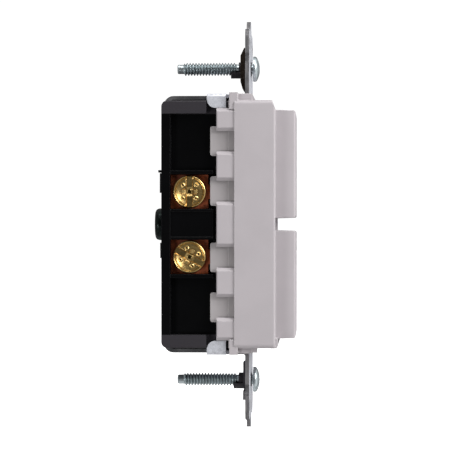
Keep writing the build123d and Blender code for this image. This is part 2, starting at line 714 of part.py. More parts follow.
# ================================================================ shutters
for name, blades in (("upper", upper_blades), ("lower", lower_blades)):
    shutter_rear = face_front - face_wall - 2.1
    shutter_front = face_front - face_wall - body_gap
    with BuildPart() as shutter:
        block((-11.0, 8.0), (shutter_rear, shutter_front), about(blades, 4.7))
        for x in (-blade_x, blade_x):
            window = about(x - shutter_travel, 1.25)
            block(window, (shutter_rear - 1, shutter_front + 1), about(blades, 4.1), Mode.SUBTRACT)
        fillet(shutter.edges().filter_by(Axis.Y).group_by(Axis.X)[0], 0.6)
    save(shutter.part, f"{name}_shutter")
    with BuildPart() as shutter_spring:
        spring_x = (8.2, face_half_width - cover_wall - 0.1)
        cross_rod(0.8, spring_x, mid((shutter_rear, shutter_front)), blades)
        cross_rod(0.5, (7, 16), mid((shutter_rear, shutter_front)), blades, Mode.SUBTRACT)
    save(shutter_spring.part, f"{name}_shutter_spring")

# ================================================================ buttons
spring_rear = plate_front + 0.1


def make_button(level, flange_front, stem_end):
    """Rectangular push button with retaining wings and a round stem."""
    with BuildPart() as button:
        head = about(level, button_half_height)
        block(about(0, button_half_width), (flange_front - flange_thickness, button_front), head)
        fillet(button.edges().filter_by(Axis.Y), 0.5)
        fillet(button.faces().sort_by(Axis.Y)[0].edges(), 0.35)
        wing = (flange_front - flange_thickness, flange_front)
        block(about(0, button_half_width + flange_overhang), wing, about(level, button_half_height - 0.5))
        rod(stem_radius, (stem_end, flange_front - 0.5), 0, level)
    return button.part


test_flange = face_front - face_wall - body_gap
reset_flange = face_front - face_wall - body_gap - trip_travel
arm_top = strip_front + 0.9
save(make_button(button_level, test_flange, arm_top + body_gap), "test_button")
save(make_button(-button_level, reset_flange, reset_flange - flange_thickness - 1.5), "reset_button")

for name, level, top in (("test", button_level, test_flange), ("reset", -button_level, reset_flange)):
    with BuildPart() as button_spring:
        rod(2.2, (spring_rear, top - flange_thickness - 0.1), 0, level)
        rod(1.7, (spring_rear - 1, top), 0, level, Mode.SUBTRACT)
    save(button_spring.part, f"{name}_spring")

with BuildPart() as test_arm:
    block((-8.6, 1.4), (arm_top - 0.35, arm_top), about(button_level, 1.0))
save(test_arm.part, "test_arm")

with BuildPart() as test_contact:
    rod(0.6, (board_front, arm_top - test_travel - 0.9), 0.6, button_level)
save(test_contact.part, "test_contact")

# ================================================================ trip mechanism
carrier_rear = carrier_front - carrier_thickness
latch_front = carrier_rear - 0.2
latch_rear = latch_front - 0.6
pin_tip = latch_rear - 1.6

with BuildPart() as reset_pin:
    rod(pin_radius, (pin_tip, reset_flange - flange_thickness - 1.6), 0, -button_level)
    rod(catch_radius, (pin_tip + 0.3, latch_rear - 0.6), 0, -button_level)
save(reset_pin.part, "reset_pin")

with BuildPart() as contact_carrier:
    block(about(0, 7.2), (carrier_rear, carrier_front), (-9.0, -2.5))
    both(3.2, 4.2, (latch_rear - 0.9, carrier_rear + 0.2), (-9.0, -2.5))
    both(2.4, 4.2, (latch_rear - 0.9, latch_rear - 0.3), (-9.0, -2.5))
    rod(2.0, (latch_rear - 2, carrier_front + 1), 0, -button_level, Mode.SUBTRACT)
save(contact_carrier.part, "contact_carrier")

with BuildPart() as latch_slide:
    tab_z = (-14.0, -13.4)
    block(about(0, 2.9), (latch_rear, latch_front), (tab_z[0], -0.5))
    block(about(0, 2.0), (latch_rear - 1.0, solenoid_forward + 1.6), tab_z)
    catch_edge = -button_level + catch_radius - 0.3
    hole_end = -button_level - catch_radius + 0.3 - latch_travel - 0.3
    block(about(0, 1.9), (latch_rear - 1, latch_front + 1), (hole_end, catch_edge), Mode.SUBTRACT)
save(latch_slide.part, "latch_slide")

for name, side in sides.items():
    arm_x = (side * arm_inner, side * arm_outer)
    with BuildPart() as contact_arm:
        block(arm_x, (arm_front - arm_thickness, arm_front), (-8.5, arm_root))
        rod(1.5, (arm_front - 0.1, arm_front + 0.9), mid(arm_x), contact_level)
    save(contact_arm.part, f"{name}_contact_arm")

with BuildPart() as arm_posts:
    both(arm_inner, arm_outer, (board_front, arm_front), (arm_root + 0.2, arm_root + 1.2))
save(arm_posts.part, "arm_posts")

# Solenoid lying along Z below the latch.
frame_low = -cavity_half_height + 1.0
frame_high = -15.6
with BuildPart() as solenoid_frame:
    block(about(0, 5.5), (board_front + 0.05, board_front + 0.85), (frame_low, frame_high))
    for end in ((frame_low, frame_low + 0.8), (frame_high - 0.8, frame_high)):
        block(about(0, 5.5), (board_front + 0.05, solenoid_forward + 4.4), end)
    upright_rod(1.3, (frame_high - 2, frame_high + 1), 0, solenoid_forward, Mode.SUBTRACT)
save(solenoid_frame.part, "solenoid_frame")

with BuildPart() as bobbin:
    for end in ((frame_low + 0.85, frame_low + 1.6), (frame_high - 1.6, frame_high - 0.85)):
        upright_rod(3.85, end, 0, solenoid_forward)
    upright_rod(2.1, (frame_low + 0.85, frame_high - 0.85), 0, solenoid_forward)
    upright_rod(1.6, (frame_low, frame_high), 0, solenoid_forward, Mode.SUBTRACT)
save(bobbin.part, "bobbin")

with BuildPart() as coil:
    upright_rod(3.6, (frame_low + 1.65, frame_high - 1.65), 0, solenoid_forward)
    upright_rod(2.15, (frame_low, frame_high), 0, solenoid_forward, Mode.SUBTRACT)
save(coil.part, "coil")

plunger_shoulder = -21.4
with BuildPart() as plunger:
    upright_rod(1.52, (frame_low + 1.1, plunger_shoulder), 0, solenoid_forward)
    upright_rod(0.8, (plunger_shoulder, tab_z[0] - body_gap), 0, solenoid_forward)
save(plunger.part, "plunger")

with BuildPart() as plunger_spring:
    spring_z = (plunger_shoulder + 0.1, frame_high - 0.85)
    upright_rod(1.45, spring_z, 0, solenoid_forward)
    upright_rod(1.0, (plunger_shoulder, frame_high), 0, solenoid_forward, Mode.SUBTRACT)
save(plunger_spring.part, "plunger_spring")

# ================================================================ electronics
with BuildPart() as circuit_board:
    board = (board_front - board_thickness, board_front)
    block(about(0, throat_half_width - 0.5), board, about(0, cavity_half_height - 0.4))
    for level in (-1, 1):
        wide = (level * 14.6, level * (cavity_half_height - 0.4))
        block(about(0, cavity_half_width - 0.4), board, wide)
        corner_cut = (level * (screw_corner_z - 3.3), level * cavity_half_height)
        both(screw_corner_x - 3.3, cavity_half_width + 1, board, corner_cut, Mode.SUBTRACT)
save(circuit_board.part, "circuit_board")

toroid_z = 23.2
for name, low in (("differential", board_front + 0.2), ("neutral", board_front + 3.7)):
    with BuildPart() as toroid:
        rod(6.9, (low, low + 3.2), 0, toroid_z)
        rod(3.6, (low - 1, low + 5), 0, toroid_z, Mode.SUBTRACT)
        fillet(toroid.edges().filter_by(GeomType.CIRCLE), 0.8)
    save(toroid.part, f"{name}_toroid")

with BuildPart() as surge_varistor:
    cross_rod(4.3, (-13.9, -10.5), solenoid_forward, -20.4)
    fillet(surge_varistor.edges().filter_by(GeomType.CIRCLE), 0.9)
    block((-12.6, -11.8), (board_front, board_front + 1.2), about(-20.4, 2.0))
save(surge_varistor.part, "surge_varistor")

with BuildPart() as capacitors:
    rod(2.4, (board_front, -9.6), 12.7, -18.4)
    rod(2.2, (board_front, -10.6), 8.5, -22.6)
    block((8.8, 14.6), (board_front, -12.4), (23.0, 24.4))
save(capacitors.part, "capacitors")

with BuildPart() as control_chip:
    block((9.2, 14.2), (board_front, board_front + 1.6), (16.0, 20.6))
save(control_chip.part, "control_chip")

with BuildPart() as resistors:
    for x in (-9.6, -11.8, -14.0):
        upright_rod(0.85, (15.6, 21.2), x, board_front + 0.9)
save(resistors.part, "resistors")

with BuildPart() as led:
    rod(1.3, (plate_front + 0.05, 0.1), 11.5, -13.0)
    fillet(led.edges().filter_by(GeomType.CIRCLE).sort_by(Axis.Y)[0], 0.8)
save(led.part, "led")

with BuildPart() as light_pipe:
    rod(1.0, (0.3, face_front - 0.05), 11.5, -13.0)
save(light_pipe.part, "light_pipe")
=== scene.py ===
"""A duplex ground-fault receptacle on a wrap-round strap, dressed for display.

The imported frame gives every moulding, stamping and joint in place. Each sub-assembly here is a class that gives its
nodes a finish and replaces its screws, springs and windings by surfaces worked out in full. Lengths are in metres;
-Y is out of the receptacle faces and +Z is up.
"""

import logging
import math
from dataclasses import dataclass, field
from enum import Enum
from typing import Callable, Iterable, Sequence

import bmesh
import bpy
import numpy as np
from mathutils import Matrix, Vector


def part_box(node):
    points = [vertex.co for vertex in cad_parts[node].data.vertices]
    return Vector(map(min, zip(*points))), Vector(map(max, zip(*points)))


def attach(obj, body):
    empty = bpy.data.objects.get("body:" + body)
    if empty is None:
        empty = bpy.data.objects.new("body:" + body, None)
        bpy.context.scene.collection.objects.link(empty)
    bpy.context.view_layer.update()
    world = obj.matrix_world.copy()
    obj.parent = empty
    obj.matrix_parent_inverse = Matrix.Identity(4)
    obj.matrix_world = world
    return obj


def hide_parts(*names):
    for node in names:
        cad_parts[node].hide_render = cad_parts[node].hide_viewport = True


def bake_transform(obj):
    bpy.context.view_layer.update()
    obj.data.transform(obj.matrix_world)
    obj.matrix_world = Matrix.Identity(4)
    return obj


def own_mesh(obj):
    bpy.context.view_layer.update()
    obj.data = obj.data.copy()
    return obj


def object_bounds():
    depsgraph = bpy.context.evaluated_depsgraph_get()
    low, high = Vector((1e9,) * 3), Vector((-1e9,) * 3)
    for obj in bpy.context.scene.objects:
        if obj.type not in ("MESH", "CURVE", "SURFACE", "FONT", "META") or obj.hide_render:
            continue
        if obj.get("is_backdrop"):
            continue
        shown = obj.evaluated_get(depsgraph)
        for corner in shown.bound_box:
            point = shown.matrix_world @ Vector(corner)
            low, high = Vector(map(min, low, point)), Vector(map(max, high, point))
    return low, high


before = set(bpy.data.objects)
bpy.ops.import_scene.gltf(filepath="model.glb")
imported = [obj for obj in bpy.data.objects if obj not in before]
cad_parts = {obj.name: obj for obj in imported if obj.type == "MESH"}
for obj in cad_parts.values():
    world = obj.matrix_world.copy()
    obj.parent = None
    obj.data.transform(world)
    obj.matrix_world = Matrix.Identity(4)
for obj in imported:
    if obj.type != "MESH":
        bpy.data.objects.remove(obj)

LOG = logging.getLogger("receptacle")
MM = 0.001
SCREW_PITCH = 25.4 * MM / 32
Colour = tuple[float, float, float]
Array = np.ndarray
Socket = bpy.types.NodeSocket
Material = bpy.types.Material


class Body(str, Enum):
    """Moving bodies that new pieces ride on."""

    HOUSING = "housing"
    RESET = "reset_button"
    GROUND_SCREW = "ground_screw"


class Slot(str, Enum):
    """Material slots of the record, passed with each new piece."""

    ZINC = "zinc_steel"
    BRASS = "brass"
    SILVER = "silver_screw"
    DARK = "dark_screw"
    SPRING = "spring_steel"
    COPPER_WIRE = "copper_wire"


# ---- shader maths


class Value:
    """A shader number. Python's operators on it add Math nodes to its tree."""

    def __init__(self, tree: "Tree", socket: Socket) -> None:
        """Wrap one output socket.

        Args:
            tree: Tree that the socket belongs to.
            socket: Output that gives the number.
        """
        self.tree = tree
        self.socket = socket

    def _with(self, operation: str, other: "Value | float", swapped: bool = False) -> "Value":
        """Combine with another number.

        Args:
            operation: Operation of the Math node.
            other: The other operand.
            swapped: True if the other operand comes first.

        Returns:
            The result as a new number.
        """
        pair = (other, self) if swapped else (self, other)
        node = self.tree.add("ShaderNodeMath", {"operation": operation}, {0: pair[0], 1: pair[1]})
        return Value(self.tree, node.outputs[0])

    def __abs__(self) -> "Value":
        """Size without its sign."""
        return self._with("ABSOLUTE", 0.0)

    def __add__(self, other: "Value | float") -> "Value":
        """Sum."""
        return self._with("ADD", other)

    __radd__ = __add__

    def __sub__(self, other: "Value | float") -> "Value":
        """Difference."""
        return self._with("SUBTRACT", other)

    def __rsub__(self, other: float) -> "Value":
        """Difference, reflected."""
        return self._with("SUBTRACT", other, swapped=True)

    def __mul__(self, other: "Value | float") -> "Value":
        """Product."""
        return self._with("MULTIPLY", other)

    __rmul__ = __mul__

    def __truediv__(self, other: "Value | float") -> "Value":
        """Quotient."""
        return self._with("DIVIDE", other)

    def __rtruediv__(self, other: float) -> "Value":
        """Quotient, reflected."""
        return self._with("DIVIDE", other, swapped=True)

    def ramp(self, low: float, high: float) -> "Value":
        """Smooth step from 0 at low to 1 at high.

        Args:
            low: Where the step starts.
            high: Where it ends.

        Returns:
            A number from 0 to 1.
        """
        settings = {"interpolation_type": "SMOOTHSTEP"}
        node = self.tree.add("ShaderNodeMapRange", settings, {"Value": self, "From Min": low, "From Max": high})
        return Value(self.tree, node.outputs["Result"])

    def between(self, low: float, high: float, start: float, end: float) -> "Value":
        """Straight line from start at low to end at high, level beyond them.

        Args:
            low: Number at which the line starts.
            high: Number at which it ends.
            start: First result.
            end: Last result.

        Returns:
            A number from start to end.
        """
        inputs = {"Value": self, "From Min": low, "From Max": high, "To Min": start, "To Max": end}
        return Value(self.tree, self.tree.add("ShaderNodeMapRange", None, inputs).outputs["Result"])


class Tree:
    """Node tree of one material or world, with a method for each kind of node that the finishes use."""

    def __init__(self, name: str, world: bool = False) -> None:
        """Start an empty material or world.

        Args:
            name: Its name.
            world: True for a world.
        """
        self.material = (bpy.data.worlds if world else bpy.data.materials).new(name)
        self.material.use_nodes = True
        self.nodes = self.material.node_tree.nodes
        self.links = self.material.node_tree.links
        self.nodes.clear()
        self.place = self.add("ShaderNodeTexCoord").outputs["Object"]

    def add(self, kind: str, settings: dict | None = None, inputs: dict | None = None) -> bpy.types.Node:
        """Add any node.

        Args:
            kind: Type of the node.
            settings: Its settings, which are set first.
            inputs: Value, link or number for each of its sockets, by name or index.

        Returns:
            The node.
        """
        node = self.nodes.new(kind)
        for key, value in (settings or {}).items():
            setattr(node, key, value)
        for key, value in (inputs or {}).items():
            self._feed(node.inputs[key], value)
        return node

    def _feed(self, socket: Socket, value: object) -> None:
        """Give an input its value or link.

        Args:
            socket: The input.
            value: A Value, an output socket, a number or a colour.
        """
        if isinstance(value, Value):
            value = value.socket
        if isinstance(value, Socket):
            self.links.new(value, socket)
        elif isinstance(value, tuple) and socket.type == "RGBA":
            socket.default_value = (*value, 1.0)
        else:
            socket.default_value = value

    def noise(self, per_mm: float, detail: float = 3.0, roughness: float = 0.5, stretch: Colour = (1, 1, 1)) -> Value:
        """Fractal noise over the piece's own coordinates.

        Args:
            per_mm: Number of features in a millimetre.
            detail: Number of octaves.
            roughness: Strength of the finer octaves.
            stretch: Share of the scale along each axis.

        Returns:
            A number near 0.5.
        """
        scaled = self.add("ShaderNodeMapping", None, {"Vector": self.place, "Scale": stretch})
        inputs = {"Vector": scaled.outputs[0], "Scale": per_mm / MM, "Detail": detail, "Roughness": roughness}
        return Value(self, self.add("ShaderNodeTexNoise", None, inputs).outputs["Fac"])

    def cells(self, per_mm: float) -> Value:
        """Random level of each cell of a Voronoi pattern.

        Args:
            per_mm: Number of cells in a millimetre.

        Returns:
            A number from 0 to 1 that is the same all over a cell.
        """
        node = self.add("ShaderNodeTexVoronoi", None, {"Vector": self.place, "Scale": per_mm / MM})
        split = self.add("ShaderNodeSeparateColor", None, {0: node.outputs["Color"]})
        return Value(self, split.outputs[0])

    def attribute(self, name: str) -> Value:
        """A number kept on the mesh.

        Args:
            name: Name of the attribute.

        Returns:
            Its value.
        """
        return Value(self, self.add("ShaderNodeAttribute", {"attribute_name": name}).outputs["Fac"])

    def height(self, axis: int) -> Value:
        """One of the piece's own coordinates.

        Args:
            axis: 0, 1 or 2 for X, Y or Z.

        Returns:
            The coordinate in metres.
        """
        return Value(self, self.add("ShaderNodeSeparateXYZ", None, {0: self.place}).outputs[axis])

    def facing(self, axis: int) -> Value:
        """How far the surface faces along an axis, whichever way round.

        Args:
            axis: 0, 1 or 2.

        Returns:
            0 where the surface runs along the axis, and 1 where it faces it.
        """
        where = self.add("ShaderNodeNewGeometry")
        parts = self.add("ShaderNodeSeparateXYZ", None, {"Vector": where.outputs["Normal"]})
        return Value(self, parts.outputs[axis])._with("ABSOLUTE", 0.0)

    def blend(self, low: object, high: object, share: Value | float) -> Socket:
        """Mix two colours.

        Args:
            low: Colour at 0.
            high: Colour at 1.
            share: How far from low to high.

        Returns:
            The mixed colour.
        """
        settings = {"data_type": "RGBA", "clamp_factor": True}
        return self.add("ShaderNodeMix", settings, {0: share, 6: low, 7: high}).outputs[2]

    def soft_normal(self, radius_mm: float) -> Socket:
        """Normal rounded over the piece's edges.

        Args:
            radius_mm: Radius of the rounding.

        Returns:
            The rounded normal.
        """
        return self.add("ShaderNodeBevel", {"samples": 4}, {"Radius": radius_mm * MM}).outputs[0]

    def edges(self, rounded: Socket) -> Value:
        """How near a point is to an edge.

        Args:
            rounded: Normal rounded over the edges.

        Returns:
            0 on flat faces, rising to 1 on edges.
        """
        flat = self.add("ShaderNodeNewGeometry").outputs["Normal"]
        dot = self.add("ShaderNodeVectorMath", {"operation": "DOT_PRODUCT"}, {0: rounded, 1: flat})
        return (1.0 - Value(self, dot.outputs["Value"])).ramp(0.01, 0.22)

    def bumped(self, relief: Value, depth_mm: float, normal: Socket | None = None) -> object:
        """Normal with a relief on it.

        Args:
            relief: Height, 1 for one depth.
            depth_mm: Depth of the relief.
            normal: Normal to start from.

        Returns:
            The bumped normal.
        """
        inputs = {"Height": relief, "Distance": depth_mm * MM, "Strength": 1.0}
        if normal is not None:
            inputs["Normal"] = normal
        return self.add("ShaderNodeBump", None, inputs).outputs[0]

    def finish(self, inputs: dict) -> Material:
        """Add the surface shader and the output.

        Args:
            inputs: Values of the shader's sockets.

        Returns:
            The finished material.
        """
        shader = self.add("ShaderNodeBsdfPrincipled", None, inputs)
        self.add("ShaderNodeOutputMaterial", None, {"Surface": shader.outputs[0]})
        return self.material


# ---- finishes


@dataclass(frozen=True)
class Moulded:
    """Moulded plastic: fine-grained skin, faint flow marks, and edges painted paler as a painted highlight."""

    name: str
    colour: Colour
    edge_colour: Colour
    roughness: float = 0.42
    grain_per_mm: float = 7.0
    grain_depth_mm: float = 0.006
    mottle: float = 0.05
    edge_mm: float = 0.22
    shine: float = 0.5
    end_level_mm: float = 0.0
    end_colour: Colour = (0.036, 0.033, 0.038)

    def build(self) -> Material:
        """Make the material. Where there is an end level, the base colour beyond it, up and down, is painted paler."""
        tree = Tree(self.name)
        grain = tree.noise(self.grain_per_mm, 2.0, 0.6)
        flow = tree.noise(0.09, 3.0, 0.55)
        darker = tuple(c * (1.0 - self.mottle) for c in self.colour)
        lighter = tuple(min(1.0, c * (1.0 + self.mottle)) for c in self.colour)
        rounded = tree.soft_normal(self.edge_mm)
        skin = tree.blend(darker, lighter, flow.ramp(0.3, 0.7))
        if self.end_level_mm:
            # base colour painted paler by height beyond the end level
            level = (tree.height(2) * (1.0 / MM))._with("ABSOLUTE", 0.0)
            skin = tree.blend(skin, self.end_colour, level.ramp(self.end_level_mm, self.end_level_mm + 0.15))
        return tree.finish(
            {
                # painted highlight: edges are painted paler in the edge colour
                "Base Color": tree.blend(skin, self.edge_colour, tree.edges(rounded) * 0.7),
                "Roughness": self.roughness - 0.06 + 0.12 * grain,
                "Normal": tree.bumped(grain, self.grain_depth_mm, rounded),
                "IOR": 1.5,
                "Specular IOR Level": self.shine,
            }
        )


@dataclass(frozen=True)
class Plated:
    """Plated steel: bright spangled zinc or a dark chromate, with rolling marks and edges painted paler for wear and as
    a painted highlight.
    """

    name: str
    colour: Colour
    dull_colour: Colour
    edge_colour: Colour
    roughness: float = 0.3
    spangle_per_mm: float = 1.6
    relief_mm: float = 0.01
    metallic: float = 1.0
    edge_mm: float = 0.12
    band: tuple[float, float, float, float] | None = None

    def build(self) -> Material:
        """Make the material. Beyond the first two places of band along Y, in mm, the plating is painted dark as painted
        shade; before the last two, faces that run along Y are painted dark with streaks."""
        tree = Tree(self.name)
        spangle = tree.cells(self.spangle_per_mm)
        cloud = tree.noise(0.25, 4.0, 0.6)
        pits = tree.noise(2.6, 4.0, 0.7)
        rounded = tree.soft_normal(self.edge_mm)
        dullness = (0.55 * cloud + 0.25 * spangle + 0.3 * pits).ramp(0.38, 0.68)
        skin = tree.blend(self.colour, self.dull_colour, dullness)
        # edges painted paler in the edge colour: wear and a painted highlight
        wear_and_painted_light = tree.blend(skin, self.edge_colour, tree.edges(rounded) * 0.6)
        if self.band:
            # painted shade: the plating is painted dark beyond the band's first two places along Y
            painted_shade = tree.blend((0.09, 0.088, 0.09), (0.03, 0.03, 0.032), cloud.ramp(0.35, 0.65))
            depth = tree.height(1) * (1.0 / MM)
            painted_shade_share = depth.ramp(self.band[0], self.band[1])
            ear = depth.ramp(self.band[2], self.band[3])
            streak = tree.noise(1.6, 3.0, 0.6, (1.0, 1.0, 0.12)).ramp(0.38, 0.62)
            # faces that run along Y, before the band's last two places, are painted dark with streaks
            dark_streaked_edge = tree.blend((0.03, 0.027, 0.026), (0.13, 0.12, 0.118), streak)
            sheared = 1.0 - tree.facing(1).ramp(0.4, 0.7)
            wear_and_painted_light = tree.blend(wear_and_painted_light, dark_streaked_edge, (1.0 - ear) * sheared * 0.85)
            wear_and_painted_light = tree.blend(wear_and_painted_light, painted_shade, painted_shade_share * 0.92)
        return tree.finish(
            {
                "Base Color": wear_and_painted_light,
                "Metallic": self.metallic,
                "Roughness": self.roughness + 0.22 * dullness + 0.08 * spangle,
                "Normal": tree.bumped(pits, self.relief_mm, rounded),
            }
        )


@dataclass(frozen=True)
class Turned:
    """Headed and plated screw: bright lands, painted shade in the recesses, a painted dark reflection in the dish, and
    fine tool marks.
    """

    name: str
    bright: Colour
    recess_shade: Colour
    wall: Colour
    roughness: float = 0.24

    def build(self) -> Material:
        """Make the material. The mesh keeps in "recess" how deep a point is, which sets the painted shade it takes, and
        in "wall" how steep it is.
        """
        tree = Tree(self.name)
        scratch = tree.noise(1.3, 4.0, 0.7, (1.0, 0.25, 1.0))
        fine = tree.noise(5.0, 3.0, 0.6)
        speck = tree.noise(2.2, 2.0, 0.5)
        recess = tree.attribute("recess")
        wall = tree.attribute("wall")
        lit = tuple(min(1.0, c * 1.18) for c in self.bright)
        land = tree.blend(self.bright, lit, scratch.ramp(0.35, 0.7))
        # painted shade: recesses, holes, thread roots and the dish are darkened by the recess mark
        land_with_painted_shade = tree.blend(land, self.recess_shade, (recess * (0.7 + 0.6 * speck)).ramp(0.2, 0.9))
        return tree.finish(
            {
                # painted shade: slot and cross walls take the darker wall colour
                "Base Color": tree.blend(land_with_painted_shade, self.wall, wall * 0.75),
                "Metallic": 1.0,
                "Roughness": self.roughness + 0.15 * recess + 0.1 * scratch,
                "Normal": tree.bumped(0.6 * fine + 0.4 * scratch, 0.012),
            }
        )


@dataclass(frozen=True)
class Stamped:
    """Stamped copper alloy: rolled grain, heat tint in patches, and sheared edges painted paler for their bright shear
    and as a painted highlight.
    """

    name: str
    colour: Colour
    tint: Colour
    edge_colour: Colour
    roughness: float = 0.34
    metallic: float = 1.0

    def build(self) -> Material:
        """Make the material."""
        tree = Tree(self.name)
        rolled = tree.noise(1.4, 4.0, 0.6, (1.0, 0.12, 1.0))
        patches = tree.noise(0.22, 4.0, 0.65)
        rounded = tree.soft_normal(0.12)
        skin = tree.blend(self.colour, self.tint, patches.ramp(0.36, 0.66))
        return tree.finish(
            {
                # edges painted paler in the edge colour: bright shear and a painted highlight
                "Base Color": tree.blend(skin, self.edge_colour, tree.edges(rounded) * 0.55),
                "Metallic": self.metallic,
                "Roughness": self.roughness + 0.2 * rolled,
                "Normal": tree.bumped(rolled, 0.008, rounded),
            }
        )


@dataclass(frozen=True)
class Laminate:
    """Circuit board: green mask over a woven glass core."""

    name: str
    colour: Colour
    weave_colour: Colour

    def build(self) -> Material:
        """Make the material. The weave is the product of two sine waves across the board."""
        tree = Tree(self.name)
        across = (tree.height(0) * (2.2 / MM))._with("SINE", 0.0)
        along = (tree.height(2) * (2.2 / MM))._with("SINE", 0.0)
        weave = (across * along).ramp(-0.8, 0.8)
        dirt = tree.noise(0.3, 4.0, 0.6)
        return tree.finish(
            {
                "Base Color": tree.blend(self.colour, self.weave_colour, weave * 0.4 + dirt * 0.3),
                "Roughness": 0.3 + 0.15 * dirt,
                "Normal": tree.bumped(weave, 0.01),
                "Coat Weight": 0.4,
            }
        )


@dataclass(frozen=True)
class Clear:
    """Clear moulded lens with a faint haze."""

    name: str
    colour: Colour

    def build(self) -> Material:
        """Make the material."""
        tree = Tree(self.name)
        haze = tree.noise(1.2, 3.0, 0.6)
        cloudy = tuple(c * 0.9 for c in self.colour)
        return tree.finish(
            {
                "Base Color": tree.blend(self.colour, cloudy, haze),
                "Roughness": 0.08 + 0.1 * haze,
                "Transmission Weight": 0.7,
                "IOR": 1.49,
            }
        )


@dataclass
class Finishes:
    """Every finish of the device, made once."""

    cover: Moulded = Moulded("cover_plastic", (0.435, 0.403, 0.42), (0.8, 0.77, 0.775), 0.46, 6.0, 0.004, 0.025, 0.34)
    faces: Moulded = Moulded("button_plastic", (0.44, 0.41, 0.42), (0.72, 0.69, 0.69), 0.4, 6.0, 0.004, 0.02, 0.2)
    middle: Moulded = Moulded("middle_plastic", (0.38, 0.355, 0.36), (0.68, 0.65, 0.65), 0.45, 6.0, 0.005, 0.04, 0.25)
    # the case's colour is painted paler beyond 28.7 mm up and down
    case: Moulded = Moulded(
        "case_plastic", (0.0012, 0.0012, 0.0015), (0.012, 0.012, 0.014), 0.3, 4.5, 0.008, 0.25, 0.2, 0.14, 28.7
    )
    inner: Moulded = Moulded("mechanism_plastic", (0.62, 0.58, 0.5), (0.7, 0.66, 0.58), 0.45)
    # zinc band: painted shade beyond 9.6 to 10.6 mm along Y; faces along Y painted dark before 0.6 to 3.0 mm
    zinc: Plated = Plated(
        "zinc_plate", (0.78, 0.79, 0.85), (0.55, 0.56, 0.6), (0.92, 0.93, 0.98), 0.4, 1.2, 0.006, 0.6,
        band=(9.6, 10.6, 0.6, 3.0),
    )
    # the second and third colours of each Turned screw are painted shade, for recesses and for slot walls
    screw_zinc: Turned = Turned("blue_zinc", (0.5, 0.56, 0.58), (0.045, 0.055, 0.055), (0.16, 0.18, 0.18), 0.28)
    dark: Plated = Plated("dark_chromate", (0.02, 0.026, 0.024), (0.01, 0.012, 0.012), (0.07, 0.08, 0.08), 0.16)
    clip: Plated = Plated("clip_bronze", (0.06, 0.046, 0.036), (0.024, 0.018, 0.014), (0.16, 0.13, 0.1), 0.34)
    spring: Plated = Plated("spring_wire", (0.55, 0.55, 0.57), (0.34, 0.34, 0.36), (0.7, 0.7, 0.72), 0.25)
    brass_screw: Turned = Turned("brass_screw", (0.64, 0.44, 0.17), (0.055, 0.038, 0.012), (0.42, 0.19, 0.045), 0.17)
    nickel_screw: Turned = Turned("nickel_screw", (0.6, 0.58, 0.54), (0.09, 0.085, 0.075), (0.3, 0.28, 0.26))
    brass: Stamped = Stamped("brass_strip", (0.5, 0.34, 0.12), (0.33, 0.2, 0.06), (0.75, 0.58, 0.3))
    copper: Stamped = Stamped("copper_plate", (0.36, 0.09, 0.035), (0.15, 0.036, 0.015), (0.6, 0.2, 0.09), 0.5, 0.6)
    plated: Stamped = Stamped("plated_strip", (0.5, 0.49, 0.46), (0.36, 0.34, 0.31), (0.72, 0.71, 0.68))
    wire: Stamped = Stamped("enamelled_wire", (0.45, 0.14, 0.04), (0.3, 0.08, 0.02), (0.6, 0.24, 0.08), 0.25)
    board: Laminate = Laminate("board_laminate", (0.01, 0.09, 0.03), (0.03, 0.17, 0.07))
    toroid: Moulded = Moulded("toroid_case", (0.02, 0.022, 0.025), (0.06, 0.06, 0.065), 0.4)
    blue: Moulded = Moulded("component_lacquer", (0.02, 0.06, 0.22), (0.05, 0.12, 0.35), 0.25)
    lens: Clear = Clear("clear_lens", (0.85, 0.86, 0.84))
    made: dict[str, Material] = field(default_factory=dict)

    def of(self, name: str) -> Material:
        """Material of a named finish, made the first time.

        Args:
            name: Field that holds the finish.

        Returns:
            Its material.
        """
        if name not in self.made:
            self.made[name] = getattr(self, name).build()
        return self.made[name]

    def dress(self, name: str, nodes: Iterable[str]) -> None:
        """Put a finish on frame nodes.

        Args:
            name: Field that holds the finish.
            nodes: Names of the nodes.
        """
        for node in nodes:
            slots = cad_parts[node].data.materials
            slots.clear()
            slots.append(self.of(name))
            LOG.info("%s takes %s", node, name)


# ---- surfaces


@dataclass
class Axes:
    """A screw's or spring's own axes: across, up and out, at an origin."""

    origin: Sequence[float]
    across: Sequence[float]
    up: Sequence[float]
    out: Sequence[float]

    def place(self, local: Array) -> Array:
        """Points given across, up and out, in the frame's coordinates.

        Args:
            local: Points, the last axis of length 3.

        Returns:
            The same points in metres in the frame.
        """
        basis = np.array([self.across, self.up, self.out], float)
        return np.array(self.origin, float) + local @ basis

    def turned(self, degrees: float) -> "Axes":
        """The same axes turned about out.

        Args:
            degrees: Angle from across towards up.

        Returns:
            The turned axes.
        """
        a, b = np.array(self.across, float), np.array(self.up, float)
        c, s = math.cos(math.radians(degrees)), math.sin(math.radians(degrees))
        return Axes(self.origin, tuple(c * a + s * b), tuple(c * b - s * a), self.out)


